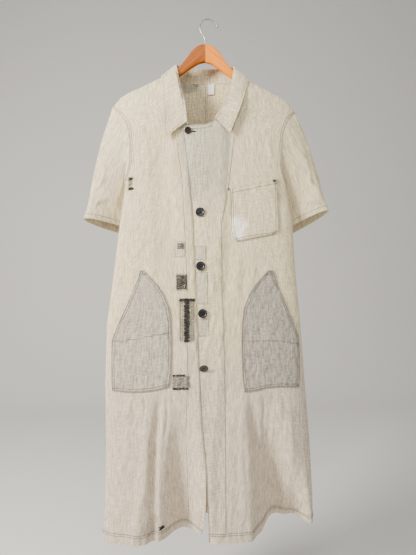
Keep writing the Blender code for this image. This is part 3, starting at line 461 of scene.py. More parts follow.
def middling_section(angles):
    """Points round a section of the body half way down, 500 mm wide and 100 mm deep: the super-ellipse."""
    sine, cosine = np.sin(angles), np.cos(angles)
    x = 0.25 * sine ** (2 / ROUNDNESS)
    return np.column_stack([x, -0.05 * np.sign(cosine) * np.abs(cosine) ** (2 / ROUNDNESS)])


# Distance round that section against the angle from centre front, so columns come out evenly spaced
ANGLES = np.linspace(0.0, np.pi, 1441)
LENGTHS = run_lengths(middling_section(ANGLES))


def length_of(angle):
    """Distance round the middling section from centre front to an angle."""
    return np.sign(angle) * np.interp(np.abs(angle), ANGLES, LENGTHS)


def angle_of(length):
    """The angle at a distance round the middling section."""
    return np.sign(length) * np.interp(np.abs(length), LENGTHS, ANGLES)


def angle_at(x, z, back=False):
    """The section angle of a point on the front (or back) with this x."""
    middle, half = middle_and_half(z)
    across = np.clip((x - middle) / half, -0.9999, 0.9999)
    angle = np.arcsin(np.abs(across) ** (ROUNDNESS / 2))
    if back:
        angle = np.pi - angle
    return np.where(across < 0, -angle, angle)


def outer_angle(side, z, back):
    """Where a panel ends round the body: at the armhole above the armpit, at the side seam below it."""
    table = ARMHOLE_LEFT if side > 0 else ARMHOLE_RIGHT
    seam = math.radians(SEAM_ANGLE) + (SEAM_TURN if back else -SEAM_TURN)
    at_armhole = np.abs(angle_at(side * column(table, z, 1), z, back))
    blend = smooth((ARMHOLE_END_Z - z) / (ARMHOLE_END_Z - ARMPIT_Z))
    return side * (at_armhole + (seam - at_armhole) * blend)


def spread(points, count):
    """count points evenly spaced along a run of points."""
    points = np.array(points, float)
    runs = run_lengths(points)
    at =np.linspace(0.0, runs[-1], count)
    return np.column_stack([np.interp(at, runs, points[:, k]) for k in range(points.shape[1])])


def curve_through(rows, per_gap):
    """A smooth run through the rows: between two rows, the Catmull-Rom cubic of their neighbours."""
    rows = np.concatenate([2 * rows[:1] - rows[1:2], rows, 2 * rows[-1:] - rows[-2:-1]])
    t = (np.arange(per_gap) / per_gap)[None, :, None]
    a, b, c, d = (rows[k : len(rows) - 3 + k, None, :] for k in range(4))
    run = 0.5 * (2 * b + (c - a) * t + (2 * a - 5 * b + 4 * c - d) * t**2 + (3 * b - a - 3 * c + d) * t**3)
    return np.concatenate([run.reshape(-1, rows.shape[1]), rows[-2:-1]])


def drops(top_z):
    """Drop below the top edge of each row: round the hanger's arm, down to the armpit, down to the hem."""
    wrap = WRAP_RADIUS * (1.0 - np.cos(WRAP_ROWS / WRAP_RADIUS))
    armpit = (TIP_Z - ARMPIT_Z - WRAP_RADIUS) / (TIP_Z - HEM_Z - WRAP_RADIUS)
    upper = armpit * np.arange(1, ARMHOLE_ROWS + 1) / ARMHOLE_ROWS
    lower = armpit + (1.0 - armpit) * np.arange(1, LOWER_ROWS + 1) / LOWER_ROWS
    shares = np.concatenate([upper, lower])
    rest = WRAP_RADIUS + (top_z[:, None] - HEM_Z - WRAP_RADIUS) * shares[None, :]
    return np.concatenate([np.broadcast_to(wrap, (len(top_z), len(wrap))), rest], axis=1)


def body_panel(side, back, top, edge_angle, lap=False):
    """A quarter of the body: columns from its inner edge to the armhole and side seam, rows from its top to
    the hem. A column starts at its point of the top edge and slides to an even share of the width."""
    z = top[:, 1:2] - drops(top[:, 1])
    hem_share = (top[:, 1:2] - z) / (top[:, 1:2] - HEM_Z)
    start_edge = length_of(edge_angle(top[:, 1]))
    start_out = length_of(outer_angle(side, top[:, 1], back))
    at_top = (length_of(angle_at(top[:, 0], top[:, 1], back)) - start_edge) / (start_out - start_edge)
    even = np.linspace(0.0, 1.0, len(top))
    slide = smooth((top[:, 1:2] - z) / EVEN_DROP)
    share = at_top[:, None] + (even - at_top)[:, None] * slide
    share[0], share[-1] = 0.0, 1.0
    inner, outer = length_of(edge_angle(z)), length_of(outer_angle(side, z, back))
    angle = angle_of(inner + (outer - inner) * share)
    middle, half = middle_and_half(z)
    x = middle + half * np.sign(angle) * np.abs(np.sin(angle)) ** (2 / ROUNDNESS)
    x[:, 0] = top[:, 0]
    fullness = np.abs(np.cos(angle)) ** (2 / ROUNDNESS)
    behind = np.abs(angle) > np.pi / 2
    y = section_y(x, z, fullness, behind)
    relief = np.where(behind, back_relief(x, z), -front_relief(x, z)) * fullness
    y = y + relief * smooth((top[:, 1:2] - z) / 0.02)
    if lap:
        y = y - lap_step(x, z)
    z = z + HEM_LIFT * hem_share**6 * smooth((x - 0.13) / 0.05)
    return np.stack([x, y, z], axis=-1)


def front_top(side):
    """Top edge of a front, from its front edge along the neckline and the shoulder to the tip: x and z."""
    collar = COLLAR_LEFT if side > 0 else COLLAR_RIGHT
    neck = [(row[0], row[2]) for row in collar[:7]]
    if side > 0:
        neck = [(-0.0600, -0.2930), (-0.0474, -0.2885), (-0.0035, -0.2845)] + neck
    else:
        neck = [(0.0300, -0.2885), (-0.0150, -0.2890)] + neck
    shoulder = [(side * x, z) for x, z in SHOULDER[1:]]
    return np.concatenate([spread(neck, FRONT_NECK + 1), spread(shoulder, 45)[1:]])


def back_top(side):
    """Top edge of a back, from the centre back seam along the neckline and the shoulder to the tip."""
    neck = [(side * x, z) for x, z in BACK_NECK]
    shoulder = [(side * x, z) for x, z in SHOULDER[1:]]
    return np.concatenate([spread(neck, BACK_NECK_COLUMNS + 1), spread(shoulder, 41)[1:]])


# ---------------------------------------------------------------- meshes
def normals_of(grid, closed=False):
    """Unit normals of a grid of points, its columns wrapped round where it is closed."""
    if closed:
        padded = np.concatenate([grid[-2:], grid, grid[:2]])
        across = np.gradient(padded, axis=0)[2:-2]
    else:
        across = np.gradient(grid, axis=0, edge_order=2)
    return unit(np.cross(across, np.gradient(grid, axis=1, edge_order=2)))


def outward(grid, normal, centre):
    """The normals turned so that they point away from a centre."""
    return normal if np.einsum("ijk,ijk->ij", normal, grid - centre).sum() > 0 else -normal


def shell(outer, inner, closed=False):
    """Vertices and faces of the closed wall between two grids of the same shape, its faces outwards."""
    columns, rows = outer.shape[:2]
    points = np.concatenate([outer.reshape(-1, 3), inner.reshape(-1, 3)])
    number = np.arange(columns * rows).reshape(columns, rows)
    if closed:
        number = np.concatenate([number, number[:1]])
    a, b, c, d = number[:-1, :-1], number[1:, :-1], number[1:, 1:], number[:-1, 1:]
    face = np.stack([a, b, c, d], axis=-1).reshape(-1, 4)
    deep = columns * rows
    faces = [face, face[:, ::-1] + deep]
    rims = [number[:, 0][::-1], number[:, -1]]
    if not closed:
        rims += [number[0], number[-1][::-1]]
    for rim in rims:
        faces.append(np.stack([rim[:-1], rim[1:], rim[1:] + deep, rim[:-1] + deep], axis=-1))
    return points, outwards(points, np.concatenate(faces))


def outwards(points, faces):
    """The quads turned so that the volume they close comes out above 0."""
    corner = points[faces]
    volume = np.einsum("ij,ij->i", corner[:, 0], np.cross(corner[:, 1], corner[:, 2])).sum()
    volume += np.einsum("ij,ij->i", corner[:, 0], np.cross(corner[:, 2], corner[:, 3])).sum()
    return faces if volume > 0 else faces[:, ::-1]


def add_mesh(name, points, faces, mat, slot, replaced=(), uv=None, wear_and_shade=None, smooth_angle=50):
    """A finished piece in the row frame, with its UV map in metres and its wear-and-shade colours where given.
    """
    mesh = bpy.data.meshes.new(name)
    faces = faces if isinstance(faces, list) else faces.tolist()
    mesh.from_pydata((np.asarray(points) - HOOK_REST).tolist(), [], faces)
    mesh.validate()
    if uv is not None:
        corners = np.zeros(len(mesh.loops), np.int32)
        mesh.loops.foreach_get("vertex_index", corners)
        mesh.uv_layers.new(name="cloth").data.foreach_set("uv", uv[corners].astype(np.float32).ravel())
    if wear_and_shade is not None:
        layer = mesh.color_attributes.new("wear_and_shade", "FLOAT_COLOR", "POINT")
        layer.data.foreach_set("color", wear_and_shade.astype(np.float32).ravel())
    mesh.materials.append(mat)
    mesh.shade_smooth()
    mesh.set_sharp_from_angle(angle=math.radians(smooth_angle))
    piece = bpy.data.objects.new(name, mesh)
    bpy.context.scene.collection.objects.link(piece)
    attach(piece, "root")
    if replaced:
        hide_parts(*replaced)
    return piece


def cloth_uv(grid):
    """Metres across along the middle row, and metres down each column, for the outer and inner face."""
    across = run_lengths(grid[:, grid.shape[1] // 2])[:, None] * np.ones(grid.shape[:2])
    uv = np.stack([across, -run_lengths(grid)], axis=-1).reshape(-1, 2)
    return np.concatenate([uv, uv])


def stitches(path, normal, width=THREAD, pitch=STITCH_PITCH, length=STITCH_LENGTH, lift=0.0003):
    """Points and faces of a row of stitches along a path: each an eight-cornered bar, narrower on top,
    that stands out along the cloth's normal."""
    runs = run_lengths(path)
    count = max(int(runs[-1] / pitch), 1)
    at = (np.arange(count) + 0.5) * pitch
    place = np.column_stack([np.interp(at, runs, path[:, k]) for k in range(3)])
    ahead = np.column_stack([np.interp(at + pitch / 4, runs, path[:, k]) for k in range(3)])
    out = unit(np.column_stack([np.interp(at, runs, normal[:, k]) for k in range(3)]))
    return bars(place, unit(ahead - place + 1e-9), out, length, width, lift)


def bars(place, along, out, length, width, lift):
    """One bar at each place: length along it, width across, its top narrower and its foot in the cloth."""
    across = np.cross(along, out)
    length = np.broadcast_to(length, (len(place),))[:, None]
    corners = []
    for height, shrink in ((-0.3, 1.0), (1.0, 0.6)):
        for s, t in ((-1, -1), (1, -1), (1, 1), (-1, 1)):
            spot = place + along * length * 0.5 * s * (0.7 + 0.3 * shrink) + across * width * 0.5 * t * shrink
            corners.append(spot + out * (lift + width * 0.5 * height))
    points = np.stack(corners, axis=1).reshape(-1, 3)
    one = np.array([(0, 3, 2, 1), (4, 5, 6, 7), (0, 1, 5, 4), (1, 2, 6, 5), (2, 3, 7, 6), (3, 0, 4, 7)])
    faces = (np.arange(len(place)) * 8)[:, None, None] + one[None]
    return points, outwards(points, faces.reshape(-1, 4))


def joined(groups):
    """Several lots of points and faces as one."""
    points, faces, start = [], [], 0
    for p, f in groups:
        points.append(p)
        faces.append(np.asarray(f) + start)
        start += len(p)
    return np.concatenate(points), np.concatenate(faces)


def line_in(lines, distance):
    """The place a distance along each line of points: the point before it, and its share of that step."""
    runs = run_lengths(lines)
    row = np.arange(len(lines))
    before = np.clip((runs < distance).sum(axis=1) - 1, 0, lines.shape[1] - 2)
    share = (distance - runs[row, before]) / (runs[row, before + 1] - runs[row, before])
    return before, share[:, None]


def taken(values, before, share):
    """Values on the lines, such as places or normals, where line_in found its points."""
    row = np.arange(len(values))
    return values[row, before] * (1 - share) + values[row, before + 1] * share


def row_of_stitches(grid, normal, distance, **look):
    """Stitches a distance in from the first points of the lines of a grid."""
    at = line_in(grid, distance)
    return stitches(taken(grid, *at), taken(normal, *at), **look)


# ---------------------------------------------------------------- materials
def linear(code):
    """A colour given as sRGB hex, as the linear RGBA that the shader takes."""
    value = np.array([int(code[k : k + 2], 16) for k in (1, 3, 5)]) / 255
    value = np.where(value <= 0.04045, value / 12.92, ((value + 0.055) / 1.055) ** 2.4)
    return (*value.tolist(), 1.0)


def add(tree, kind, inputs=None, **settings):
    """Adds a node, sets its properties, and fills each named or numbered input with a value or a link."""
    made = tree.nodes.new(kind)
    for name, value in settings.items():
        setattr(made, name, value)
    for key, value in (inputs or {}).items():
        if isinstance(value, bpy.types.NodeSocket):
            tree.links.new(value, made.inputs[key])
        else:
            made.inputs[key].default_value = value
    return made


def new_material(name, **shader_inputs):
    """A material with its shader's unlinked sockets set; gives the material, its tree and the shader."""
    made = bpy.data.materials.new(name)
    made.use_nodes = True
    shader = made.node_tree.nodes["Principled BSDF"]
    for key, value in shader_inputs.items():
        shader.inputs[key.replace("_", " ")].default_value = value
    return made, made.node_tree, shader


# The weave's noises in the order they are added up: cells a metre across, down and through, and detail
WEAVE = (
    ((360.0, 42.0, 1.0), 1.0),  # warp threads, 2.8 mm wide and 24 mm long
    ((410.0, 410.0, 1.0), 1.0),  # the two colours twisted together, specks of 2.4 mm
    ((60.0, 360.0, 1.0), 1.0),  # weft threads, 17 mm long and 2.8 mm wide
    ((240.0, 26.0, 1.0), 2.0),  # thicker places in the warp, 4.2 mm wide and 38 mm long
)


def salt_and_pepper(name, faded, cream, unfaded, contrast):
    """Woven cotton, dark and undyed threads twisted together: matt, finely speckled, with faint uneven warp
    threads that read as upright streaks. A real thread is 0.4 mm; here the grain is 2 to 3 mm wide, as
    coarse as it needs to be to show in a picture whose pixel is 2.6 mm."""
    made, tree, shader = new_material(
        name, Roughness=0.92, IOR=1.5, Specular_IOR_Level=0.25, Sheen_Weight=0.12, Sheen_Roughness=0.6
    )
    uv = add(tree, "ShaderNodeUVMap", uv_map="cloth").outputs[0]
    spot = add(tree, "ShaderNodeTexCoord").outputs["Object"]
    wear_and_shade = add(tree, "ShaderNodeVertexColor", layer_name="wear_and_shade")
    parts = add(tree, "ShaderNodeSeparateColor", {0: wear_and_shade.outputs[0]})
    grain = 0.0
    for cells, detail in WEAVE:
        placed = add(tree, "ShaderNodeMapping", {"Vector": uv, "Scale": cells}).outputs[0]
        noise = add(tree, "ShaderNodeTexNoise", {"Vector": placed, "Scale": 1.0, "Detail": detail}).outputs[0]
        grain = add(tree, "ShaderNodeMath", {0: grain, 1: noise}, operation="ADD").outputs[0]
    # uneven fading in patches of about 110 mm
    placed = add(tree, "ShaderNodeMapping", {"Vector": spot, "Scale": (9.0, 9.0, 6.0)}).outputs[0]
    patchy = add(tree, "ShaderNodeTexNoise", {"Vector": placed, "Scale": 1.0, "Detail": 3.0}).outputs[0]
    dirt_and_shade_alpha = wear_and_shade.outputs[1]
    bleached = add(tree, "ShaderNodeMapRange", {0: dirt_and_shade_alpha, 1: 0.0, 2: 0.30, 3: 0.65, 4: 0.0}).outputs[0]
    # the faded colour turned by each share of wear towards that wear's own colour
    colour = linear(faded)
    for share, code in (
        (parts.outputs[0], cream),
        (parts.outputs[1], unfaded),
        (parts.outputs[2], "#CDBE8F"),
        (bleached, "#FBFAF4"),
    ):
        shares = {0: share, 6: colour, 7: linear(code)}
        colour = add(tree, "ShaderNodeMix", shares, data_type="RGBA").outputs[2]
    # darker or lighter by the weave, by the uneven fading, by dirt and painted shade, and by bleaching
    tone = 1.0
    for value, low, high, at_low, at_high in (
        (grain, 1.68, 2.32, 1.0 - contrast, 1.0 + contrast * 0.6),
        (patchy, 0.3, 0.7, 0.955, 1.03),
        (dirt_and_shade_alpha, 0.0, 1.0, 1.30, 0.45),
    ):
        factor = add(tree, "ShaderNodeMapRange", {0: value, 1: low, 2: high, 3: at_low, 4: at_high}).outputs[0]
        tone = add(tree, "ShaderNodeMath", {0: tone, 1: factor}, operation="MULTIPLY").outputs[0]
    tone = add(tree, "ShaderNodeCombineColor", {0: tone, 1: tone, 2: tone}).outputs[0]
    shares = {0: 1.0, 6: colour, 7: tone}
    colour = add(tree, "ShaderNodeMix", shares, data_type="RGBA", blend_type="MULTIPLY").outputs[2]
    tree.links.new(colour, shader.inputs["Base Color"])
    bump = add(tree, "ShaderNodeBump", {"Strength": 0.35, "Distance": 0.0008, "Height": grain})
    tree.links.new(bump.outputs[0], shader.inputs["Normal"])
    return made


def cotton_yarn(name, light, dark):
    """Spun mending yarn and sewing thread: matt, a little fluffy, with a tone that changes every 3.8 mm."""
    made, tree, shader = new_material(
        name, Roughness=0.95, IOR=1.5, Specular_IOR_Level=0.2, Sheen_Weight=0.15
    )
    spot = add(tree, "ShaderNodeTexCoord").outputs["Object"]
    spun = add(tree, "ShaderNodeTexNoise", {"Vector": spot, "Scale": 260.0, "Detail": 2.0}).outputs[0]
    share = add(tree, "ShaderNodeMapRange", {0: spun, 1: 0.38, 2: 0.62, 3: 0.0, 4: 1.0}).outputs[0]
    shares = {0: share, 6: linear(dark), 7: linear(light)}
    colour = add(tree, "ShaderNodeMix", shares, data_type="RGBA").outputs[2]
    tree.links.new(colour, shader.inputs["Base Color"])
    return made


def pressed_horn(name, light, dark):
    """Moulded casein or horn: nearly black, polished but rubbed, faintly clouded inside every 5.6 mm."""
    made, tree, shader = new_material(name, IOR=1.55, Coat_Weight=0.25, Coat_Roughness=0.18)
    spot = add(tree, "ShaderNodeTexCoord").outputs["Object"]
    cloud = add(tree, "ShaderNodeTexNoise", {"Vector": spot, "Scale": 180.0, "Detail": 3.0}).outputs[0]
    shares = {0: cloud, 6: linear(dark), 7: linear(light)}
    colour = add(tree, "ShaderNodeMix", shares, data_type="RGBA").outputs[2]
    tree.links.new(colour, shader.inputs["Base Color"])
    rubbed = add(tree, "ShaderNodeMapRange", {0: cloud, 1: 0.3, 2: 0.7, 3: 0.26, 4: 0.44}).outputs[0]
    tree.links.new(rubbed, shader.inputs["Roughness"])
    return made


def varnished_beech(name, pale, brown, tilt):
    """Sawn hardwood under clear varnish: fine grain along the arm, small dark flecks, a soft gloss. The
    grain's lines are 71 mm long and 2.4 mm apart, the flecks 8 mm long and 0.7 mm wide, as in beech."""
    made, tree, shader = new_material(name, Specular_IOR_Level=0.15, Coat_Weight=0.06, Coat_Roughness=0.2)
    spot = add(tree, "ShaderNodeTexCoord").outputs["Object"]
    turned_spot = add(tree, "ShaderNodeMapping", {"Vector": spot, "Rotation": (0.0, tilt, 0.0)}).outputs[0]
    placed = add(tree, "ShaderNodeMapping", {"Vector": turned_spot, "Scale": (14.0, 300.0, 420.0)})
    inputs = {"Vector": placed.outputs[0], "Scale": 1.0, "Detail": 4.0}
    grain = add(tree, "ShaderNodeTexNoise", inputs).outputs[0]
    placed = add(tree, "ShaderNodeMapping", {"Vector": turned_spot, "Scale": (120.0, 600.0, 1500.0)})
    inputs = {"Vector": placed.outputs[0], "Scale": 1.0, "Detail": 1.0}
    flecks = add(tree, "ShaderNodeTexNoise", inputs).outputs[0]
    lines = add(tree, "ShaderNodeMapRange", {0: grain, 1: 0.32, 2: 0.68, 3: 0.0, 4: 1.0}).outputs[0]
    spots = add(tree, "ShaderNodeMapRange", {0: flecks, 1: 0.66, 2: 0.74, 3: 0.0, 4: 0.45}).outputs[0]
    colour = linear(pale)
    for share, code in ((lines, brown), (spots, "#7A4A22")):
        shares = {0: share, 6: colour, 7: linear(code)}
        colour = add(tree, "ShaderNodeMix", shares, data_type="RGBA").outputs[2]
    tree.links.new(colour, shader.inputs["Base Color"])
    gloss = add(tree, "ShaderNodeMapRange", {0: grain, 1: 0.3, 2: 0.7, 3: 0.30, 4: 0.42}).outputs[0]
    tree.links.new(gloss, shader.inputs["Roughness"])
    bump = add(tree, "ShaderNodeBump", {"Strength": 0.12, "Distance": 0.0003, "Height": grain})
    tree.links.new(bump.outputs[0], shader.inputs["Normal"])
    return made


def drawn_steel(name):
    """Bright drawn wire, tarnished in spots 11 mm wide and 17 mm high: a grey metal, softly glossy."""
    made, tree, shader = new_material(name, Metallic=1.0)
    spot = add(tree, "ShaderNodeTexCoord").outputs["Object"]
    placed = add(tree, "ShaderNodeMapping", {"Vector": spot, "Scale": (90.0, 90.0, 60.0)}).outputs[0]
    tarnish = add(tree, "ShaderNodeTexNoise", {"Vector": placed, "Scale": 1.0, "Detail": 3.0}).outputs[0]
    bright, dull = linear("#B9B9B6"), linear("#77756F")
    colour = add(tree, "ShaderNodeMix", {0: tarnish, 6: bright, 7: dull}, data_type="RGBA").outputs[2]
    tree.links.new(colour, shader.inputs["Base Color"])
    gloss = add(tree, "ShaderNodeMapRange", {0: tarnish, 1: 0.3, 2: 0.7, 3: 0.20, 4: 0.38}).outputs[0]
    tree.links.new(gloss, shader.inputs["Roughness"])
    return made


def cotton_tape(name):
    """Plain woven tape, off-white: matt, finely ribbed across. The ribs are 1 mm apart, twice a real one."""
    made, tree, shader = new_material(name, Roughness=0.9, IOR=1.5, Specular_IOR_Level=0.2)
    spot = add(tree, "ShaderNodeTexCoord").outputs["Object"]
    placed = add(tree, "ShaderNodeMapping", {"Vector": spot, "Scale": (60.0, 60.0, 1000.0)}).outputs[0]
    ribs = add(tree, "ShaderNodeTexNoise", {"Vector": placed, "Scale": 1.0, "Detail": 1.0}).outputs[0]
    share = add(tree, "ShaderNodeMapRange", {0: ribs, 1: 0.35, 2: 0.65, 3: 0.0, 4: 1.0}).outputs[0]
    low, high = linear("#F0ECE0"), linear("#FCFAF3")
    colour = add(tree, "ShaderNodeMix", {0: share, 6: low, 7: high}, data_type="RGBA").outputs[2]
    tree.links.new(colour, shader.inputs["Base Color"])
    return made


# ---------------------------------------------------------------- colours of age, and painted shade, on the cloth
def blob(x, z, cx, cz, rx, rz, seed=21):
    """A soft-edged uneven spot: 1 in the middle, 0 outside its two radii."""
    ragged = 0.25 * crumple(x, z, 0.03, 0.03, seed)
    return smooth(1.5 - np.hypot((x - cx) / rx, (z - cz) / rz) - ragged)


def wear_and_shade_colours(cream, unfaded, yellow, dirt_and_shade):
    """The shares as red, green, blue and alpha, the alpha carrying dirt and painted shade. That share may be
    below 0, where the cloth is bleached, and the alpha is then below CLEAN_WEAR."""
    shares = np.broadcast_arrays(cream, unfaded, yellow, CLEAN_WEAR + (1.0 - CLEAN_WEAR) * dirt_and_shade)
    return np.clip(np.stack(shares, axis=-1), 0.0, 1.0)


def front_wear_and_shade(x, z):
    """Cream above and greyer below, the less faded bib beside the overlap, stains, dirt and painted shade."""
    cream = smooth((z + 1.02) / 0.30) * (0.85 + 0.15 * crumple(x, z, 0.10, 0.25, 31))
    inside = (x - column(FACING_RIGHT, z, 1)) / 0.014
    within = (column(FACING_LEFT, z, 1) - x) / 0.010
    bib = 0.8 * smooth(inside) * smooth(within) * smooth((z + 0.53) / 0.11)
    yellow = 0.20 * blob(x, z, 0.056, -0.760, 0.040, 0.110)
    yellow = yellow + 0.12 * blob(x, z, 0.010, -0.700, 0.060, 0.160)
    yellow = yellow + 0.12 * blob(x, z, -0.140, -0.660, 0.080, 0.180)
    dirt_and_shade = 0.30 * blob(x, z, -0.143, -1.283, 0.018, 0.018) + 0.10 * smooth((-1.25 - z) / 0.05)
    # painted shade along the groove of the hem's stitched top edge
    dirt_and_shade = dirt_and_shade + 0.12 * smooth(1.0 - (z - HEM_Z - HEM_DEPTH) ** 2 / 0.000012)
    # painted shadow along the overlap's edge, where it stands off the underlap
    painted_lap_shadow = smooth(1.0 - np.abs(x - column(OVERLAP_EDGE, z, 1)) / 0.0040) * smooth((-0.36 - z) / 0.10)
    return wear_and_shade_colours(cream, bib, yellow, dirt_and_shade + 0.90 * painted_lap_shadow)


def back_wear(x, z):
    """Cream above and greyer below for the backs, with stains, dirt and a grey-blue darker spot inside the
    neck.
    """
    cream = smooth((z + 1.02) / 0.30) * (0.85 + 0.15 * crumple(x, z, 0.12, 0.25, 33))
    yellow = 0.20 * blob(x, z, 0.080, -0.400, 0.060, 0.090) + 0.2 * blob(x, z, -0.050, -0.800, 0.050, 0.120)
    grey_blue_neck_spot = blob(x, z, -0.044, -0.162, 0.028, 0.012)
    dirt_and_shade = 0.10 * smooth((-1.25 - z) / 0.05) + 0.25 * blob(x, z, 0.100, -1.270, 0.030, 0.025)
    dirt_and_shade = dirt_and_shade + 0.35 * grey_blue_neck_spot
    return wear_and_shade_colours(cream, 0.20 * smooth(1.0 - np.abs(x) / 0.03) + 0.8 * grey_blue_neck_spot, yellow, dirt_and_shade)


def plain_wear_and_shade(points, cream, grey=0.0, dirt_and_shade=0.0):
    """One shade of wear with soft unevenness, for collar, sleeves and pockets; its darkening carries dirt, and
    painted shade on the pockets.
    """
    x, y, z = points[..., 0], points[..., 1], points[..., 2]
    uneven = 0.12 * crumple(x, z + y, 0.05, 0.07, 35)
    return wear_and_shade_colours(cream + uneven, grey - uneven, 0.0, dirt_and_shade)


def both_faces(wear_and_shade):
    """The same wear-and-shade colours on a shell's outer and inner points."""
    flat = wear_and_shade.reshape(-1, 4)
    return np.concatenate([flat, flat])


# ---------------------------------------------------------------- sewn pieces
def lengths_from_end(grid):
    """Distance of each point from the last point of its column, along the column."""
    steps = np.linalg.norm(np.diff(grid, axis=1), axis=-1)[:, ::-1]
    return np.concatenate([np.zeros((len(grid), 1)), np.cumsum(steps, axis=1)], axis=1)[:, ::-1]


def add_cloth(name, grid, normal, thick, mat, slot, node, wear_and_shade, closed=False):
    """A cloth wall of a thickness between its outer points and the ones a thickness behind them."""
    inner = grid - normal * np.asarray(thick)[..., None]
    points, faces = shell(grid, inner, closed)
    return add_mesh(name, points, faces, mat, slot, [node], cloth_uv(grid), both_faces(wear_and_shade))


def add_threads(name, groups, mat, slot):
    """Rows of stitches joined into one piece."""
    return add_mesh(name, *joined(groups), mat, slot, smooth_angle=30)


def make_body(cloth, thread):
    """The two fronts and two backs with their seams. Returns each panel's outer points and normals."""
    panels = {}
    for side, hand in ((1, "left"), (-1, "right")):
        table = OVERLAP_EDGE if side > 0 else UNDERLAP_EDGE
        front = body_panel(
            side, False, front_top(side), lambda z, t=table: angle_at(column(t, z, 1), z), lap=side > 0
        )
        back = body_panel(
            side, True, back_top(side), lambda z, s=side: np.full(np.shape(z), s * (np.pi - BACK_SEAM_TURN))
        )
        for part, grid, neck in (("front", front, FRONT_NECK), ("back", back, BACK_NECK_COLUMNS)):
            name = f"{part}_{hand}"
            normal = outward(grid, normals_of(grid), np.array([0.0, 0.0, -0.7]))
            normal[neck:, 0, 1] = 0.0
            if part == "back":
                normal[0, :, 0] = 0.0
            normal = unit(normal)
            grid[neck:, 0, 1] += SEAM_GAP / 2 * (1 if part == "back" else -1)
            above_hem = lengths_from_end(grid)
            hem = smooth((HEM_DEPTH - above_hem) / 0.004 + 0.5)
            grid = grid + normal * (HEM_PLY * hem)[..., None]
            wear_and_shade = (front_wear_and_shade if part == "front" else back_wear)(grid[..., 0], grid[..., 2])
            thick = CLOTH + HEM_PLY * 1.6 * hem
            piece = add_cloth(name + "_cloth", grid, normal, thick, cloth, "cloth", name, wear_and_shade)
            threads = add_threads(name + "_stitches", seams_of(part, side, grid, normal), thread, "cloth")
            panels[name] = (grid, normal)
    return panels


def seams_of(part, side, grid, normal):
    """The rows of stitches that show on a body panel."""
    from_edge = grid[::-1].transpose(1, 0, 2)
    edge_normal = normal[::-1].transpose(1, 0, 2)
    armhole, side_seam = slice(3, ARMPIT_ROW + 1), slice(ARMPIT_ROW + 2, None)
    groups = []
    for distance in (0.0025, 0.0090):
        groups.append(row_of_stitches(from_edge[armhole], edge_normal[armhole], distance))
        if part == "back":
            groups.append(row_of_stitches(from_edge[side_seam], edge_normal[side_seam], distance))
    for distance in (HEM_DEPTH, HEM_DEPTH - 0.005):
        groups.append(row_of_stitches(grid[:, ::-1], normal[:, ::-1], distance))
    if part == "back":
        inner, inner_normal = grid - normal * CLOTH, -normal
        for distance in (0.0030, 0.0075) if side > 0 else ():
            for face, out in ((grid, normal), (inner, inner_normal)):
                rows, row_normals = face.transpose(1, 0, 2)[2:], out.transpose(1, 0, 2)[2:]
                groups.append(row_of_stitches(rows, row_normals, distance))
    else:
        table = FACING_LEFT if side > 0 else FACING_RIGHT
        z = np.linspace(table[0, 0], table[-1, 0], 400)
        x = column(table, z, 1)
        path = np.column_stack([x, front_y(x, z, lap=side > 0), z])
        groups.append(stitches(path, np.tile([0.0, -1.0, 0.0], (len(path), 1))))
        rows, row_normals = grid.transpose(1, 0, 2), normal.transpose(1, 0, 2)
        if side > 0:
            groups.append(row_of_stitches(rows[3:], row_normals[3:], 0.0016))
            neck = (grid[:, 0, 0] < 0.022).argmin()
            groups.append(row_of_stitches(grid[:neck], normal[:neck], BINDING_DEPTH))
            groups.append(row_of_stitches(grid[:neck], normal[:neck], 0.0020))
    return groups


def cuff_loop(cuff, side, turns):
    """A tilted oval: x and y go round its half sizes, turned about Z, and z falls inwards and backwards."""
    cx, cy, top, half_long, half_deep, turn, fall_in, fall_back = cuff
    turn = math.radians(turn)
    along, deep = half_long * np.cos(turns), half_deep * np.sin(turns)
    out = along * math.cos(turn) + deep * math.sin(turn)
    x = cx + side * out
    y = cy - along * math.sin(turn) - deep * math.cos(turn)
    end_x, end_y = cx + side * half_long * math.cos(turn), cy - half_long * math.sin(turn)
    z = top - fall_in * side * (end_x - x) - fall_back * (y - end_y)
    return np.stack([x, y, z], axis=-1)


def clear_of_body(points, gap):
    """Points under the armpit moved out from the body's middle until they clear its section by a gap."""
    x, y, z = points[..., 0], points[..., 1], points[..., 2]
    middle, half = middle_and_half(z)
    side = np.where(x < middle, column(BODY, z, 2), column(BODY, z, 4))
    reach = np.where(y < side, side - column(BODY, z, 5), column(BODY, z, 6) - side)
    ax, ay = (x - middle) / (half + gap), (y - side) / (reach + gap)
    grow = np.maximum((np.abs(ax) ** ROUNDNESS + np.abs(ay) ** ROUNDNESS) ** (-1 / ROUNDNESS), 1.0)
    grow = 1.0 + (grow - 1.0) * smooth((-0.36 - z) / 0.07)
    return np.stack([middle + (x - middle) * grow, side + (y - side) * grow, z], axis=-1)


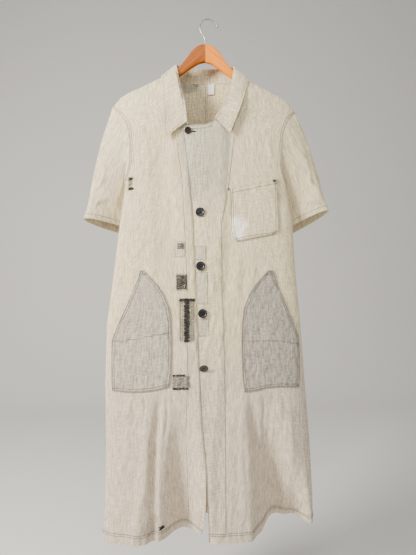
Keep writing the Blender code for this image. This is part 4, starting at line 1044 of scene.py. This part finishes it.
def make_sleeve(side, panels, cloth, thread):
    """A tube from the armhole to the cuff, bulged outwards and kept clear of the body."""
    hand = "left" if side > 0 else "right"
    front, front_normal = (values[-1, : ARMPIT_ROW + 1] for values in panels[f"front_{hand}"])
    back, back_normal = (values[-1, : ARMPIT_ROW + 1] for values in panels[f"back_{hand}"])
    loop = np.concatenate([front[:-1], back[1:][::-1]])
    inward = np.concatenate([front_normal[:-1], back_normal[1:][::-1]])
    round_armhole = run_lengths(np.concatenate([loop, loop[:1]]))
    turns = 2 * np.pi * round_armhole[:-1] / round_armhole[-1]
    cuff = cuff_loop(CUFF_LEFT if side > 0 else CUFF_RIGHT, side, turns)
    start = loop + unit(np.array([side * 1.0, 0.0, -0.35])) * SEAM_GAP * 1.6
    share = (np.arange(SLEEVE_ROWS) / (SLEEVE_ROWS - 1))[None, :, None] ** 1.15
    grid = start[:, None, :] * (1 - share) + cuff[:, None, :] * share
    bulge = np.sin(np.pi * np.minimum(share[..., 0] * 1.15, 1.0)) * SLEEVE_BULGE
    outer_part = np.cos(turns)[:, None] * 0.5 + 0.5
    grid[..., 0] += side * bulge * outer_part
    grid[..., 2] += bulge * outer_part * 0.35
    gap = (SLEEVE_CLEARANCE * smooth(share / 0.2))[..., 0] * np.ones((len(loop), 1))
    grid[:, 1:] = clear_of_body(grid[:, 1:], gap[:, 1:])
    normal = normals_of(grid, closed=True)
    centre = grid.mean(axis=0, keepdims=True)
    if np.einsum("ijk,ijk->ij", normal, grid - centre).sum() < 0:
        normal = -normal
    normal[:, 0] = inward
    down = run_lengths(grid)
    round_it = round_armhole[:-1, None] * np.ones_like(down)
    waves = 0.0008 * crumple(round_it, down, 0.040, 0.090, 40 + side)
    relief = SLEEVE_CREASE_GAIN * creases(SLEEVE_CREASES, round_it, down) + waves
    relief = relief + 0.0003 * crumple(round_it, down, 0.013, 0.03, 44)
    hem = smooth((SLEEVE_HEM + 0.001 - lengths_from_end(grid)) / 0.004 + 0.5)
    relief = relief * smooth(down / 0.02) * (1 - 0.4 * hem) + HEM_PLY * hem
    close_by = smooth((np.abs(grid[..., 0]) - 0.232) / 0.012 + (grid[..., 2] + 0.40) / 0.05)
    grid = grid + normal * (np.maximum(relief, -0.004) * np.where(relief > 0, close_by, 1.0))[..., None]
    name = f"sleeve_{hand}"
    wear_and_shade = plain_wear_and_shade(grid, 0.55 if side < 0 else 0.85)
    thick = CLOTH + HEM_PLY * 1.4 * hem
    piece = add_cloth(name + "_cloth", grid, normal, thick, cloth, "cloth", name, wear_and_shade, closed=True)
    ring = np.concatenate([grid, grid[:1]])[:, ::-1]
    ring_normal = np.concatenate([normal, normal[:1]])[:, ::-1]
    groups = [row_of_stitches(ring, ring_normal, SLEEVE_HEM)]
    threads = add_threads(name + "_stitches", groups, thread, "cloth")


def lifted_off(points, lift, on_front):
    """Points moved out until they stand a lift above the cloth: radially where it turns over the shoulder,
    and forwards or backwards below that. The overlap's thickness counts too."""
    x, y, z = points.T
    core = shoulder_z(x) - WRAP_RADIUS
    reach = np.hypot(y, z - core)
    grow = np.maximum((WRAP_RADIUS + lift) / reach, 1.0)
    over = z > core
    lap = np.where(x < 0.02, LAP_STEP, 0.0) + np.where((x < -0.02) & (z < -0.23), 0.0006, 0.0)
    front = np.minimum(y, front_y(x, z) - lift - lap)
    back = np.maximum(y, back_y(x, z) + lift)
    below_y = np.where(on_front, front, np.where(y > 0.002, back, y))
    lifted_y, lifted_z = np.where(over, y * grow, below_y), np.where(over, core + (z - core) * grow, z)
    return np.stack([x, lifted_y, lifted_z], axis=-1)


def make_collar(cloth, thread):
    """The stand rises from the neck seam, rolls over and falls to the edge; the fall lies on the coat."""
    stations = curve_through(np.concatenate([COLLAR_RIGHT, COLLAR_BACK, COLLAR_LEFT[::-1]]), 9)
    seam, roll, edge = stations[:, 0:3], stations[:, 3:6], stations[:, 6:9]
    up = unit(roll - seam)
    out = edge - roll
    out[:, 2] = 0.0
    out = unit(out)
    centre = roll + out * ROLL_RADIUS - up * ROLL_RADIUS * 0.2
    seam = seam + up * COLLAR_SEAM
    on_front = seam[:, 1] < -0.002
    turns = np.radians(np.linspace(10, 170, 9))
    arc = [centre + ROLL_RADIUS * (up * math.sin(a) - out * math.cos(a)) for a in turns]
    path = [seam * (1 - s) + arc[0] * s for s in np.linspace(0, 1, 6)[:-1]] + arc
    first_fall = len(path) - 1
    falls = np.linspace(0, 1, 19)[1:]
    path += [arc[-1] * (1 - s) + edge * s for s in falls]
    grid = np.stack(path, axis=1)
    for k, s in zip(range(first_fall, len(path)), [0.0, *falls]):
        lift = COLLAR_LIFT + 0.0014 * (1.0 - smooth((s - 0.67) / 0.33))
        grid[:, k] = lifted_off(grid[:, k], lift, on_front)
    normal = normals_of(grid)
    if normal[len(grid) // 2, 0, 1] > 0:
        normal = -normal
    fall = smooth((np.arange(len(path)) - first_fall) / 6)[None, :]
    x, y, z = grid[..., 0], grid[..., 1], grid[..., 2]
    waves = 0.0007 * np.abs(crumple(x + y, z - y, 0.030, 0.040, 51))
    waves = waves + 0.0003 * crumple(x, z + y, 0.011, 0.014, 52)
    grid = grid + normal * (fall * np.maximum(waves, 0.0))[..., None]
    # a tenth darker on the stand, fading out across the roll to the fall
    dirt_and_shade = 0.10 * smooth((first_fall + 1.0 - np.arange(len(path))) / 6)[None, :]
    wear_and_shade = plain_wear_and_shade(grid, 0.8, 0.05, dirt_and_shade)
    thick = np.full(grid.shape[:2], COLLAR_WALL)
    piece = add_cloth("collar_cloth", grid, normal, thick, cloth, "cloth", "collar", wear_and_shade)
    groups = [row_of_stitches(grid[:, ::-1][2:-2], normal[:, ::-1][2:-2], 0.0055, width=0.0005)]
    across = grid[:, first_fall + 3 :].transpose(1, 0, 2)
    across_normal = normal[:, first_fall + 3 :].transpose(1, 0, 2)
    groups.append(row_of_stitches(across[:-3], across_normal[:-3], 0.0055, width=0.0005))
    groups.append(row_of_stitches(across[:-3, ::-1], across_normal[:-3, ::-1], 0.0055, width=0.0005))
    threads = add_threads("collar_stitches", groups, thread, "cloth")


# ---------------------------------------------------------------- pockets
def between(left, right, columns):
    """Grid between two edges of equal length, columns wide."""
    share = np.linspace(0.0, 1.0, columns)[:, None, None]
    return left[None] * (1 - share) + right[None] * share


def make_pocket(name, near, far, cloth, thread, crinkle, cream, grey, row=None, foot=None):
    """A patch pocket: the front's own dressed points under its outline, moved out, with its crinkled wall on
    them. near and far are its two edges as x and z, from the top down; foot is how its lower edge waves."""
    flat = between(spread(near, POCKET_ROWS), spread(far, POCKET_ROWS), POCKET_COLUMNS)
    x, z = flat[..., 0], flat[..., 1]
    across, down = np.linspace(0, 1, POCKET_COLUMNS)[:, None], np.linspace(0, 1, POCKET_ROWS)[None, :]
    if foot is not None:
        z = z + np.interp(across, *foot) * smooth((down - 0.7) / 0.3)
    under = np.stack([x, front_y(x, z), z], axis=-1)
    normal = normals_of(under)
    if normal[..., 1].sum() > 0:
        normal = -normal
    inner = under + normal * POCKET_GAP
    # share of the pocket's width, or of half its height, from its nearest edge
    border = np.minimum(np.minimum(across, 1 - across), 2 * np.minimum(down, 1 - down))
    crumpled = crumple(x, z, 0.022, 0.030, 61) * 0.6 + crumple(x, z, 0.009, 0.011, 62) * 0.4
    thick = POCKET_WALL + crinkle * (crumpled + 0.6) * smooth(border / 0.08)
    thick = thick + 0.0005 * (1 - smooth(border / 0.05))
    grid = inner + normal * thick[..., None]
    # painted contact shade: darker along the pocket's edges, where it lies on the front
    dirt_and_shade = 0.30 * (1.0 - smooth(border / 0.035))
    if row is None:
        dirt_and_shade = dirt_and_shade - 0.50 * blob(x, z, 0.078, -0.548, 0.022, 0.030)
    else:
        # painted shade: darker in the hollows of the crinkles
        dirt_and_shade = dirt_and_shade + 0.10 * smooth(-crumpled / 0.4)
    wear_and_shade = plain_wear_and_shade(grid, cream, grey, dirt_and_shade)
    points, faces = shell(grid, inner)
    looks = cloth_uv(grid), both_faces(wear_and_shade)
    piece = add_mesh(name + "_cloth", points, faces, cloth, "pocket_cloth", [name], *looks)
    sides = [(grid.transpose(1, 0, 2), normal.transpose(1, 0, 2))]
    sides.append((grid[::-1].transpose(1, 0, 2), normal[::-1].transpose(1, 0, 2)))
    sides.append((grid[:, ::-1], normal[:, ::-1]))
    groups = [row_of_stitches(lines, out, distance) for lines, out in sides for distance in (0.0020, 0.0075)]
    groups.append(row_of_stitches(grid, normal, 0.0110))
    if row is not None:
        target = np.interp(x, row[:, 0], row[:, 1])
        nearest = np.abs(z - target).argmin(axis=1)
        columns = np.arange(len(grid))
        groups.append(stitches(grid[columns, nearest], normal[columns, nearest]))
    threads = add_threads(name + "_stitches", groups, thread, "pocket_cloth")


def make_pockets(hip_cloth, chest_cloth, thread):
    """The chest pocket in the coat's own cloth, and the two hip pockets in the darker cloth."""
    make_pocket(
        "chest_pocket", CHEST_POCKET[:, :2], CHEST_POCKET[:, 2:], chest_cloth, thread,
        crinkle=0.0003, cream=0.85, grey=0.0,
    )
    for side, hand, row, foot in (
        (1, "left", POCKET_ROW_LEFT, POCKET_FOOT_LEFT),
        (-1, "right", POCKET_ROW_RIGHT, POCKET_FOOT_RIGHT),
    ):
        further = LEFT_MOUTH_SHIFT if side > 0 else 0.0
        near = np.column_stack([side * HIP_POCKET[:, 1], HIP_POCKET[:, 0]])
        far = np.column_stack([side * (HIP_POCKET[:, 2] + further), HIP_POCKET[:, 0]])
        make_pocket(
            f"hip_pocket_{hand}", near, far, hip_cloth, thread, crinkle=0.0011,
            cream=0.2 if side > 0 else 0.75, grey=0.1, row=row, foot=foot,
        )


# ---------------------------------------------------------------- mends
def on_front(x, z, lap, lift):
    """Points on the front's outer face, a lift in front of it, with its normal and its way down there."""
    e = 0.0008
    here, beside, below = (
        np.stack([a, front_y(a, b, lap=lap) - lift, b], axis=-1) for a, b in ((x, z), (x + e, z), (x, z - e))
    )
    across, down = unit(beside - here), unit(below - here)
    normal = np.cross(across, down)
    return here, normal * np.where(normal[..., 1:2] > 0, -1.0, 1.0), across, down


def make_darns(light, dark):
    """Rows of mending stitches, each stitch's place and length a little uneven, as by hand."""
    for seed, (name, x0, x1, z0, z1, upright, pitch, length, width, is_dark) in enumerate(DARNS):
        rng = np.random.default_rng(100 + seed)
        step_x, step_z = (pitch, length * 0.95) if upright else (length * 0.95, pitch)
        x = np.arange(x0 + step_x / 2, x1, step_x)
        z = np.arange(z0 - step_z / 2, z1, -step_z)
        x, z = (v.ravel() for v in np.meshgrid(x, z, indexing="ij"))
        x = x + rng.uniform(-0.14, 0.14, len(x)) * step_x
        z = z + rng.uniform(-0.14, 0.14, len(z)) * step_z
        lift = POCKET_GAP + POCKET_WALL + 0.0008 if name.startswith("pocket") else PATCH_LIFT + PATCH_WALL
        lift = lift + 0.0006 * is_dark
        lap = x > column(OVERLAP_EDGE, z, 1)
        here, normal, across, down = on_front(x, z, bool(lap.all()), lift)
        lean = rng.uniform(-0.16, 0.16, (len(x), 1))
        along = unit(down + across * lean) if upright else unit(across + down * lean)
        lengths = length * rng.uniform(0.75, 1.15, len(x))
        points, faces = bars(here, along, normal, lengths, width, 0.0)
        add_mesh(name + "_yarn", points, faces, dark if is_dark else light, "cloth", smooth_angle=30)


def make_patches(cloth, thread):
    """Small squares of less faded cloth sewn flat on the fronts, with a row of stitches inside each edge."""
    for name, x0, x1, z0, z1, lap in PATCHES:
        x, z = np.meshgrid(np.linspace(x0, x1, 22), np.linspace(z0, z1, 32), indexing="ij")
        ragged = 0.0007 * crumple(x, z, 0.008, 0.008, 81)
        here, normal, _, _ = on_front(x + ragged, z, lap, PATCH_LIFT)
        outer = here + normal * PATCH_WALL
        points, faces = shell(outer, here)
        wear_and_shade = both_faces(plain_wear_and_shade(outer, 0.45, 0.50, 0.06))
        piece = add_mesh(name + "_cloth", points, faces, cloth, "cloth", (), cloth_uv(outer), wear_and_shade)
        sides = [(outer, normal), (outer[:, ::-1], normal[:, ::-1])]
        for a, b in ((outer, normal), (outer[::-1], normal[::-1])):
            sides.append((a.transpose(1, 0, 2), b.transpose(1, 0, 2)))
        groups = [row_of_stitches(a, b, 0.0012, width=0.0005) for a, b in sides]
        threads = add_threads(name + "_stitches", groups, thread, "cloth")


def make_neck_buttonhole(dark):
    """A worked buttonhole that shows to one side of the neck button: short upright stitches side by side."""
    x = np.arange(-0.0385, -0.0265, 0.0009)
    here, normal, _, down = on_front(x, np.full(len(x), -0.3045), True, 0.0002)
    points, faces = bars(here, down, normal, 0.0030, 0.0010, 0.0001)
    add_mesh("neck_buttonhole_yarn", points, faces, dark, "cloth", smooth_angle=30)


def make_neck_tack(dark):
    """A few dark mending stitches inside the neck, just under the collar's seam."""
    x = np.array([-0.0280, -0.0245, -0.0205, -0.0170, -0.0235, -0.0190])
    z = np.array([-0.1530, -0.1526, -0.1532, -0.1522, -0.1562, -0.1568])
    here = np.stack([x, back_y(x, z) - CLOTH - 0.0006, z], axis=-1)
    along = unit(np.stack([0 * x + 1.0, 0 * x, 0.25 * np.sin(x * 900.0)], axis=-1))
    points, faces = bars(here, along, np.tile([0.0, -1.0, 0.0], (len(x), 1)), 0.0058, 0.0013, 0.0001)
    add_mesh("neck_tack_yarn", points, faces, dark, "cloth", smooth_angle=30)


# ---------------------------------------------------------------- buttons
def make_button(name, x, z, diameter, tilt, horn, thread):
    """A turned disc: its face dishes between a rounded rim and the middle, with four pits for the thread, and
    a cross of thread lies over the middle. Rings go out from the centre and turn with the angle."""
    r, t = diameter / 2, BUTTON_THICKNESS
    turns = np.linspace(0, 2 * np.pi, BUTTON_SIDES, endpoint=False)[None, :]
    shares = np.array([0.02, *np.linspace(0.06, 0.42, 16), *np.linspace(0.5, 0.80, 6), 0.86, 0.92, 0.96, 0.99])
    shares = shares[:, None]
    dish = t * (0.58 + 0.40 * smooth((shares - 0.60) / 0.16) - 0.10 * smooth((shares - 0.93) / 0.07))
    px, py = r * shares * np.cos(turns), r * shares * np.sin(turns)
    height = dish + 0 * px
    for k in range(4):
        turn = math.pi / 4 + k * math.pi / 2
        off = np.hypot(px - r * 0.22 * math.cos(turn), py - r * 0.22 * math.sin(turn))
        height = height - 0.9 * t * 0.58 * (1 - smooth((off / (r * 0.10) - 0.55) / 0.7))
    # the rounded rim and the flat back: share of the radius, share of the thickness
    rim = np.array([(1.0, 0.66), (1.0, 0.46), (0.97, 0.22), (0.80, 0.05), (0.40, 0.0), (0.02, 0.0)])
    out, up = r * rim[:, :1], t * rim[:, 1:]
    grid = np.concatenate([
        np.stack([px, py, height], axis=-1),
        np.stack([out * np.cos(turns), out * np.sin(turns), up + 0 * turns], axis=-1),
    ])
    turn = np.array([[1, 0, 0], [0, 0, -1], [0, 1, 0]], float)
    lean = math.radians(tilt)
    roll = np.array([[1, 0, 0], [0, math.cos(lean), -math.sin(lean)], [0, math.sin(lean), math.cos(lean)]])
    step = float(lap_step(x, z)) if name != "button_neck" else LAP_STEP
    stand = BUTTON_STAND + 0.9 * r * abs(math.sin(lean)) * (abs(tilt) > 15)
    place = np.array([x, float(front_y(x, z)) - step - stand, z])

    def on_coat(points):
        """Points of the lying button turned to face forwards, tilted, and put in their place."""
        return points @ turn.T @ roll.T + place

    middle = [0.0, 0.0, height[0].mean()]
    add_capped(name + "_disc", grid, middle, [0.0, 0.0, 0.0], on_coat, horn, "button", [name])
    spots = np.tile([0.0, 0.0, t * 0.58], (2, 1))
    along = unit(np.array([(1.0, 1.0, 0.0), (1.0, -1.0, 0.0)]))
    points, faces = bars(spots, along, np.tile([0.0, 0.0, 1.0], (2, 1)), r * 0.46, 0.0010, 0.0002)
    add_mesh(name + "_thread", on_coat(points), faces, thread, "button")
    ends = np.array([place + [0, stand + 0.001, 0], place - [0, 0.0002, 0]])
    points, faces = tube(ends, SHANK_RADIUS, 10)
    add_mesh(name + "_shank", points, faces, thread, "button")


def ring_faces(rings, sides):
    """Quads between closed rings of points. Gives the points' numbers, the next points', and the quads."""
    number = np.arange(rings * sides).reshape(rings, sides)
    after = np.roll(number, -1, axis=1)
    faces = np.stack([number[:-1], after[:-1], after[1:], number[1:]], axis=-1)
    return number, after, faces.reshape(-1, 4)


def add_capped(name, grid, first, last, place, mat, slot, replaced):
    """A piece of rings of points with a fan to one more point at either end, its faces turned outwards. place
    is the function that puts the points where they belong."""
    rings, sides = grid.shape[:2]
    number, after, faces = ring_faces(rings, sides)
    faces = faces.tolist()
    for ring, centre in ((0, rings * sides), (-1, rings * sides + 1)):
        faces += [[a, b, centre] for a, b in zip(number[ring].tolist(), after[ring].tolist())]
    points = np.concatenate([grid.reshape(-1, 3), [first, last]])
    piece = add_mesh(name, place(points), faces, mat, slot, replaced, smooth_angle=40)
    edit = bmesh.new()
    edit.from_mesh(piece.data)
    bmesh.ops.recalc_face_normals(edit, faces=edit.faces)
    edit.to_mesh(piece.data)
    edit.free()


def tube(path, radius, sides):
    """A round tube along a path in one plane, its ends closed by small rings; radius may vary along it."""
    path = np.asarray(path, float)
    ahead = unit(np.gradient(path, axis=0))
    radius = np.broadcast_to(radius, (len(path),))
    across = [1.0, 0.0, 0.0] if abs(ahead[0, 1]) > 0.5 else [0.0, 1.0, 0.0]
    second = unit(np.cross(ahead, np.tile(across, (len(path), 1))))
    third = np.cross(ahead, second)
    turns = np.linspace(0, 2 * np.pi, sides, endpoint=False)
    cosine, sine = np.cos(turns)[:, None], np.sin(turns)[:, None]
    stations = [(0, 0.05), *[(k, 1.0) for k in range(len(path))], (len(path) - 1, 0.05)]
    grid = np.array([
        path[k] + radius[k] * share * (cosine * second[k] + sine * third[k]) for k, share in stations
    ])
    points = grid.reshape(-1, 3)
    return points, outwards(points, ring_faces(len(grid), sides)[2])


# ---------------------------------------------------------------- hanger
def make_hanger(woods, steel):
    """Two arms cut from board with rounded edges, and a bent wire hook. An arm's section is a flat-sided oval
    between the outline's upper and lower edge, carried from the middle joint to the tip."""
    outline = np.array(ARM_OUTLINE)
    upper = spread(curve_through(outline[:12], 8), ARM_STATIONS)
    lower = spread(curve_through(outline[:10:-1], 8), ARM_STATIONS)
    middle, half = (upper + lower) / 2, (upper - lower) / 2
    turns = np.linspace(0, 2 * np.pi, ARM_SIDES, endpoint=False)
    c, s = np.cos(turns), np.sin(turns)
    flat_c, flat_s = np.sign(c) * np.abs(c) ** ARM_SQUARENESS, np.sign(s) * np.abs(s) ** ARM_SQUARENESS
    for side, name in ((1, "hanger_arm_left"), (-1, "hanger_arm_right")):
        x = np.maximum(middle[:, :1] + half[:, :1] * flat_s, SEAM_GAP / 2) * side
        z = middle[:, 1:] + half[:, 1:] * flat_s
        y = ARM_THICKNESS / 2 * flat_c[None, :] * np.ones((ARM_STATIONS, 1))
        grid = np.stack([x, y, z], axis=-1)
        ends = grid[0].mean(axis=0), grid[-1].mean(axis=0)
        add_capped(name + "_wood", grid, *ends, np.asarray, woods[side], "wood", [name])
    path = spread(curve_through(np.array(HOOK_PATH), 14), 150)
    runs = run_lengths(path)
    from_tip = runs[-1] - runs
    ball = np.sqrt(np.maximum(TIP_RADIUS**2 - (from_tip - TIP_RADIUS) ** 2, 0.0))
    radius = np.maximum(np.where(from_tip > TIP_RADIUS, WIRE_RADIUS, 0.0), ball)
    line = np.column_stack([path[:, 0], 0 * path[:, 0], path[:, 1]])
    points, faces = tube(line, np.maximum(radius, 0.0002), 28)
    add_mesh("hanger_hook_wire", points, faces, steel, "wire", ["hanger_hook"])


def make_label(tape, thread):
    """The plain neck label, just in front of the back's inner face, sewn at its two short ends."""
    left, right, low, high = LABEL
    x, z = np.meshgrid(np.linspace(left, right, 16), np.linspace(high, low, 20), indexing="ij")
    face = np.stack([x, back_y(x, z) - CLOTH - LABEL_GAP, z], axis=-1)
    face[..., 1] -= 0.0004 * crumple(x, z, 0.012, 0.02, 71)
    out = np.tile([0.0, -1.0, 0.0], face.shape[:2] + (1,))
    points, faces = shell(face - (0.0, 0.0008, 0.0), face)
    piece = add_mesh("neck_label_tape", points, faces, tape, "label", ["neck_label"])
    rows = [row_of_stitches(face - (0.0, 0.0008, 0.0), out, 0.0015, width=0.0004)]
    rows.append(row_of_stitches(face[:, ::-1] - (0.0, 0.0008, 0.0), out[:, ::-1], 0.0015, width=0.0004))
    threads = add_threads("neck_label_stitches", rows, thread, "label")


# ---------------------------------------------------------------- studio
def make_studio():
    """A plain pale floor that sweeps up into a backdrop, soft lights, and the camera where the photo's was."""
    turns = np.radians(np.linspace(5, 85, 17))
    y = np.array([-3.5, BACKDROP_Y, *(BACKDROP_Y + BACKDROP_RADIUS * np.sin(turns)), 2.7, 2.7])
    z = FLOOR_Z + np.array([0.0, 0.0, *(BACKDROP_RADIUS * (1.0 - np.cos(turns))), BACKDROP_RADIUS, 5.0])
    points = [(x, *place) for x in (-5.0, 5.0) for place in zip(y.tolist(), z.tolist())]
    number = len(y)
    faces = [(k, k + 1, number + k + 1, number + k) for k in range(number - 1)]
    mesh = bpy.data.meshes.new("studio_sweep")
    mesh.from_pydata(points, [], faces)
    mesh.shade_smooth()
    made, tree, shader = new_material("matt_paper_backdrop", Roughness=0.95, Specular_IOR_Level=0.2)
    spot = add(tree, "ShaderNodeTexCoord").outputs["Object"]
    # soft clouds of about 17 mm, much coarser than paper's own tooth, which wouldn't show
    clouds = add(tree, "ShaderNodeTexNoise", {"Vector": spot, "Scale": 60.0, "Detail": 2.0}).outputs[0]
    shares = {0: clouds, 6: linear("#DFDDD8"), 7: linear("#E6E4DF")}
    colour = add(tree, "ShaderNodeMix", shares, data_type="RGBA").outputs[2]
    tree.links.new(colour, shader.inputs["Base Color"])
    mesh.materials.append(made)
    sweep = bpy.data.objects.new("studio_sweep", mesh)
    bpy.context.scene.collection.objects.link(sweep)
    for name, place, size, watts, colour in LIGHTS:
        lamp = bpy.data.lights.new(name, "AREA")
        lamp.shape, lamp.size, lamp.energy, lamp.color = "DISK", size, watts, colour
        holder = bpy.data.objects.new(name, lamp)
        bpy.context.scene.collection.objects.link(holder)
        holder.location = place
        aim = Vector((0.0, 0.0, -0.70)) - Vector(place)
        holder.rotation_euler = aim.to_track_quat("-Z", "Y").to_euler()
    world = bpy.data.worlds.new("studio_air")
    bpy.context.scene.world = world
    world.use_nodes = True
    world.node_tree.nodes["Background"].inputs[0].default_value = (*WORLD_COLOUR, 1.0)
    world.node_tree.nodes["Background"].inputs[1].default_value = WORLD_STRENGTH
    camera = bpy.data.cameras.new("camera")
    camera.sensor_width, camera.lens = 36.0, CAMERA_LENS
    camera.clip_start, camera.clip_end = 0.01, 20.0
    eye = bpy.data.objects.new("camera", camera)
    bpy.context.scene.collection.objects.link(eye)
    eye.location = CAMERA_PLACE
    eye.rotation_euler = (math.radians(90), 0.0, math.radians(-CAMERA_TURN))
    bpy.context.scene.camera = eye


def main():
    """The materials, the studio, and then the pieces in the order that a maker puts them together."""
    cloth = salt_and_pepper("cloth_cotton_faded", "#D0C0AA", "#E4D4AC", "#BCB5A2", 0.34)
    pocket_cloth = salt_and_pepper("cloth_cotton_darker", "#A39A8E", "#BCB2A0", "#B8B0A2", 0.40)
    # the grey thread is darker than the real one: its colour also paints the shade along the seams' grooves
    thread = cotton_yarn("thread_grey_cotton_with_seam_shade", "#6E6A70", "#48454D")
    darning = cotton_yarn("yarn_grey_mending", "#827D78", "#5A5653")
    dark_thread = cotton_yarn("thread_black_cotton", "#3A3734", "#201F1E")
    horn = pressed_horn("button_pressed_horn", "#1C1C21", "#08080A")
    brown_horn = pressed_horn("button_dark_brown_horn", "#2A1C14", "#120B08")
    woods = {
        1: varnished_beech("wood_varnished_beech_left", "#FF9600", "#E27800", math.radians(-38)),
        -1: varnished_beech("wood_varnished_beech_right", "#AE5C00", "#803A00", math.radians(38)),
    }
    make_studio()
    panels = make_body(cloth, thread)
    for side in (1, -1):
        make_sleeve(side, panels, cloth, thread)
    make_collar(cloth, thread)
    make_pockets(pocket_cloth, cloth, thread)
    make_patches(cloth, thread)
    make_darns(darning, dark_thread)
    make_neck_buttonhole(dark_thread)
    make_neck_tack(dark_thread)
    for name, x, z, diameter in BUTTONS:
        first = name == "button_neck"
        tilt = 38.0 if name == "button_4" else (8.0 if first else -4.0)
        make_button(name, x, z, diameter, tilt, brown_horn if first else horn, dark_thread)
    make_hanger(woods, drawn_steel("wire_drawn_steel"))
    make_label(cotton_tape("label_cotton_tape"), thread)


main()
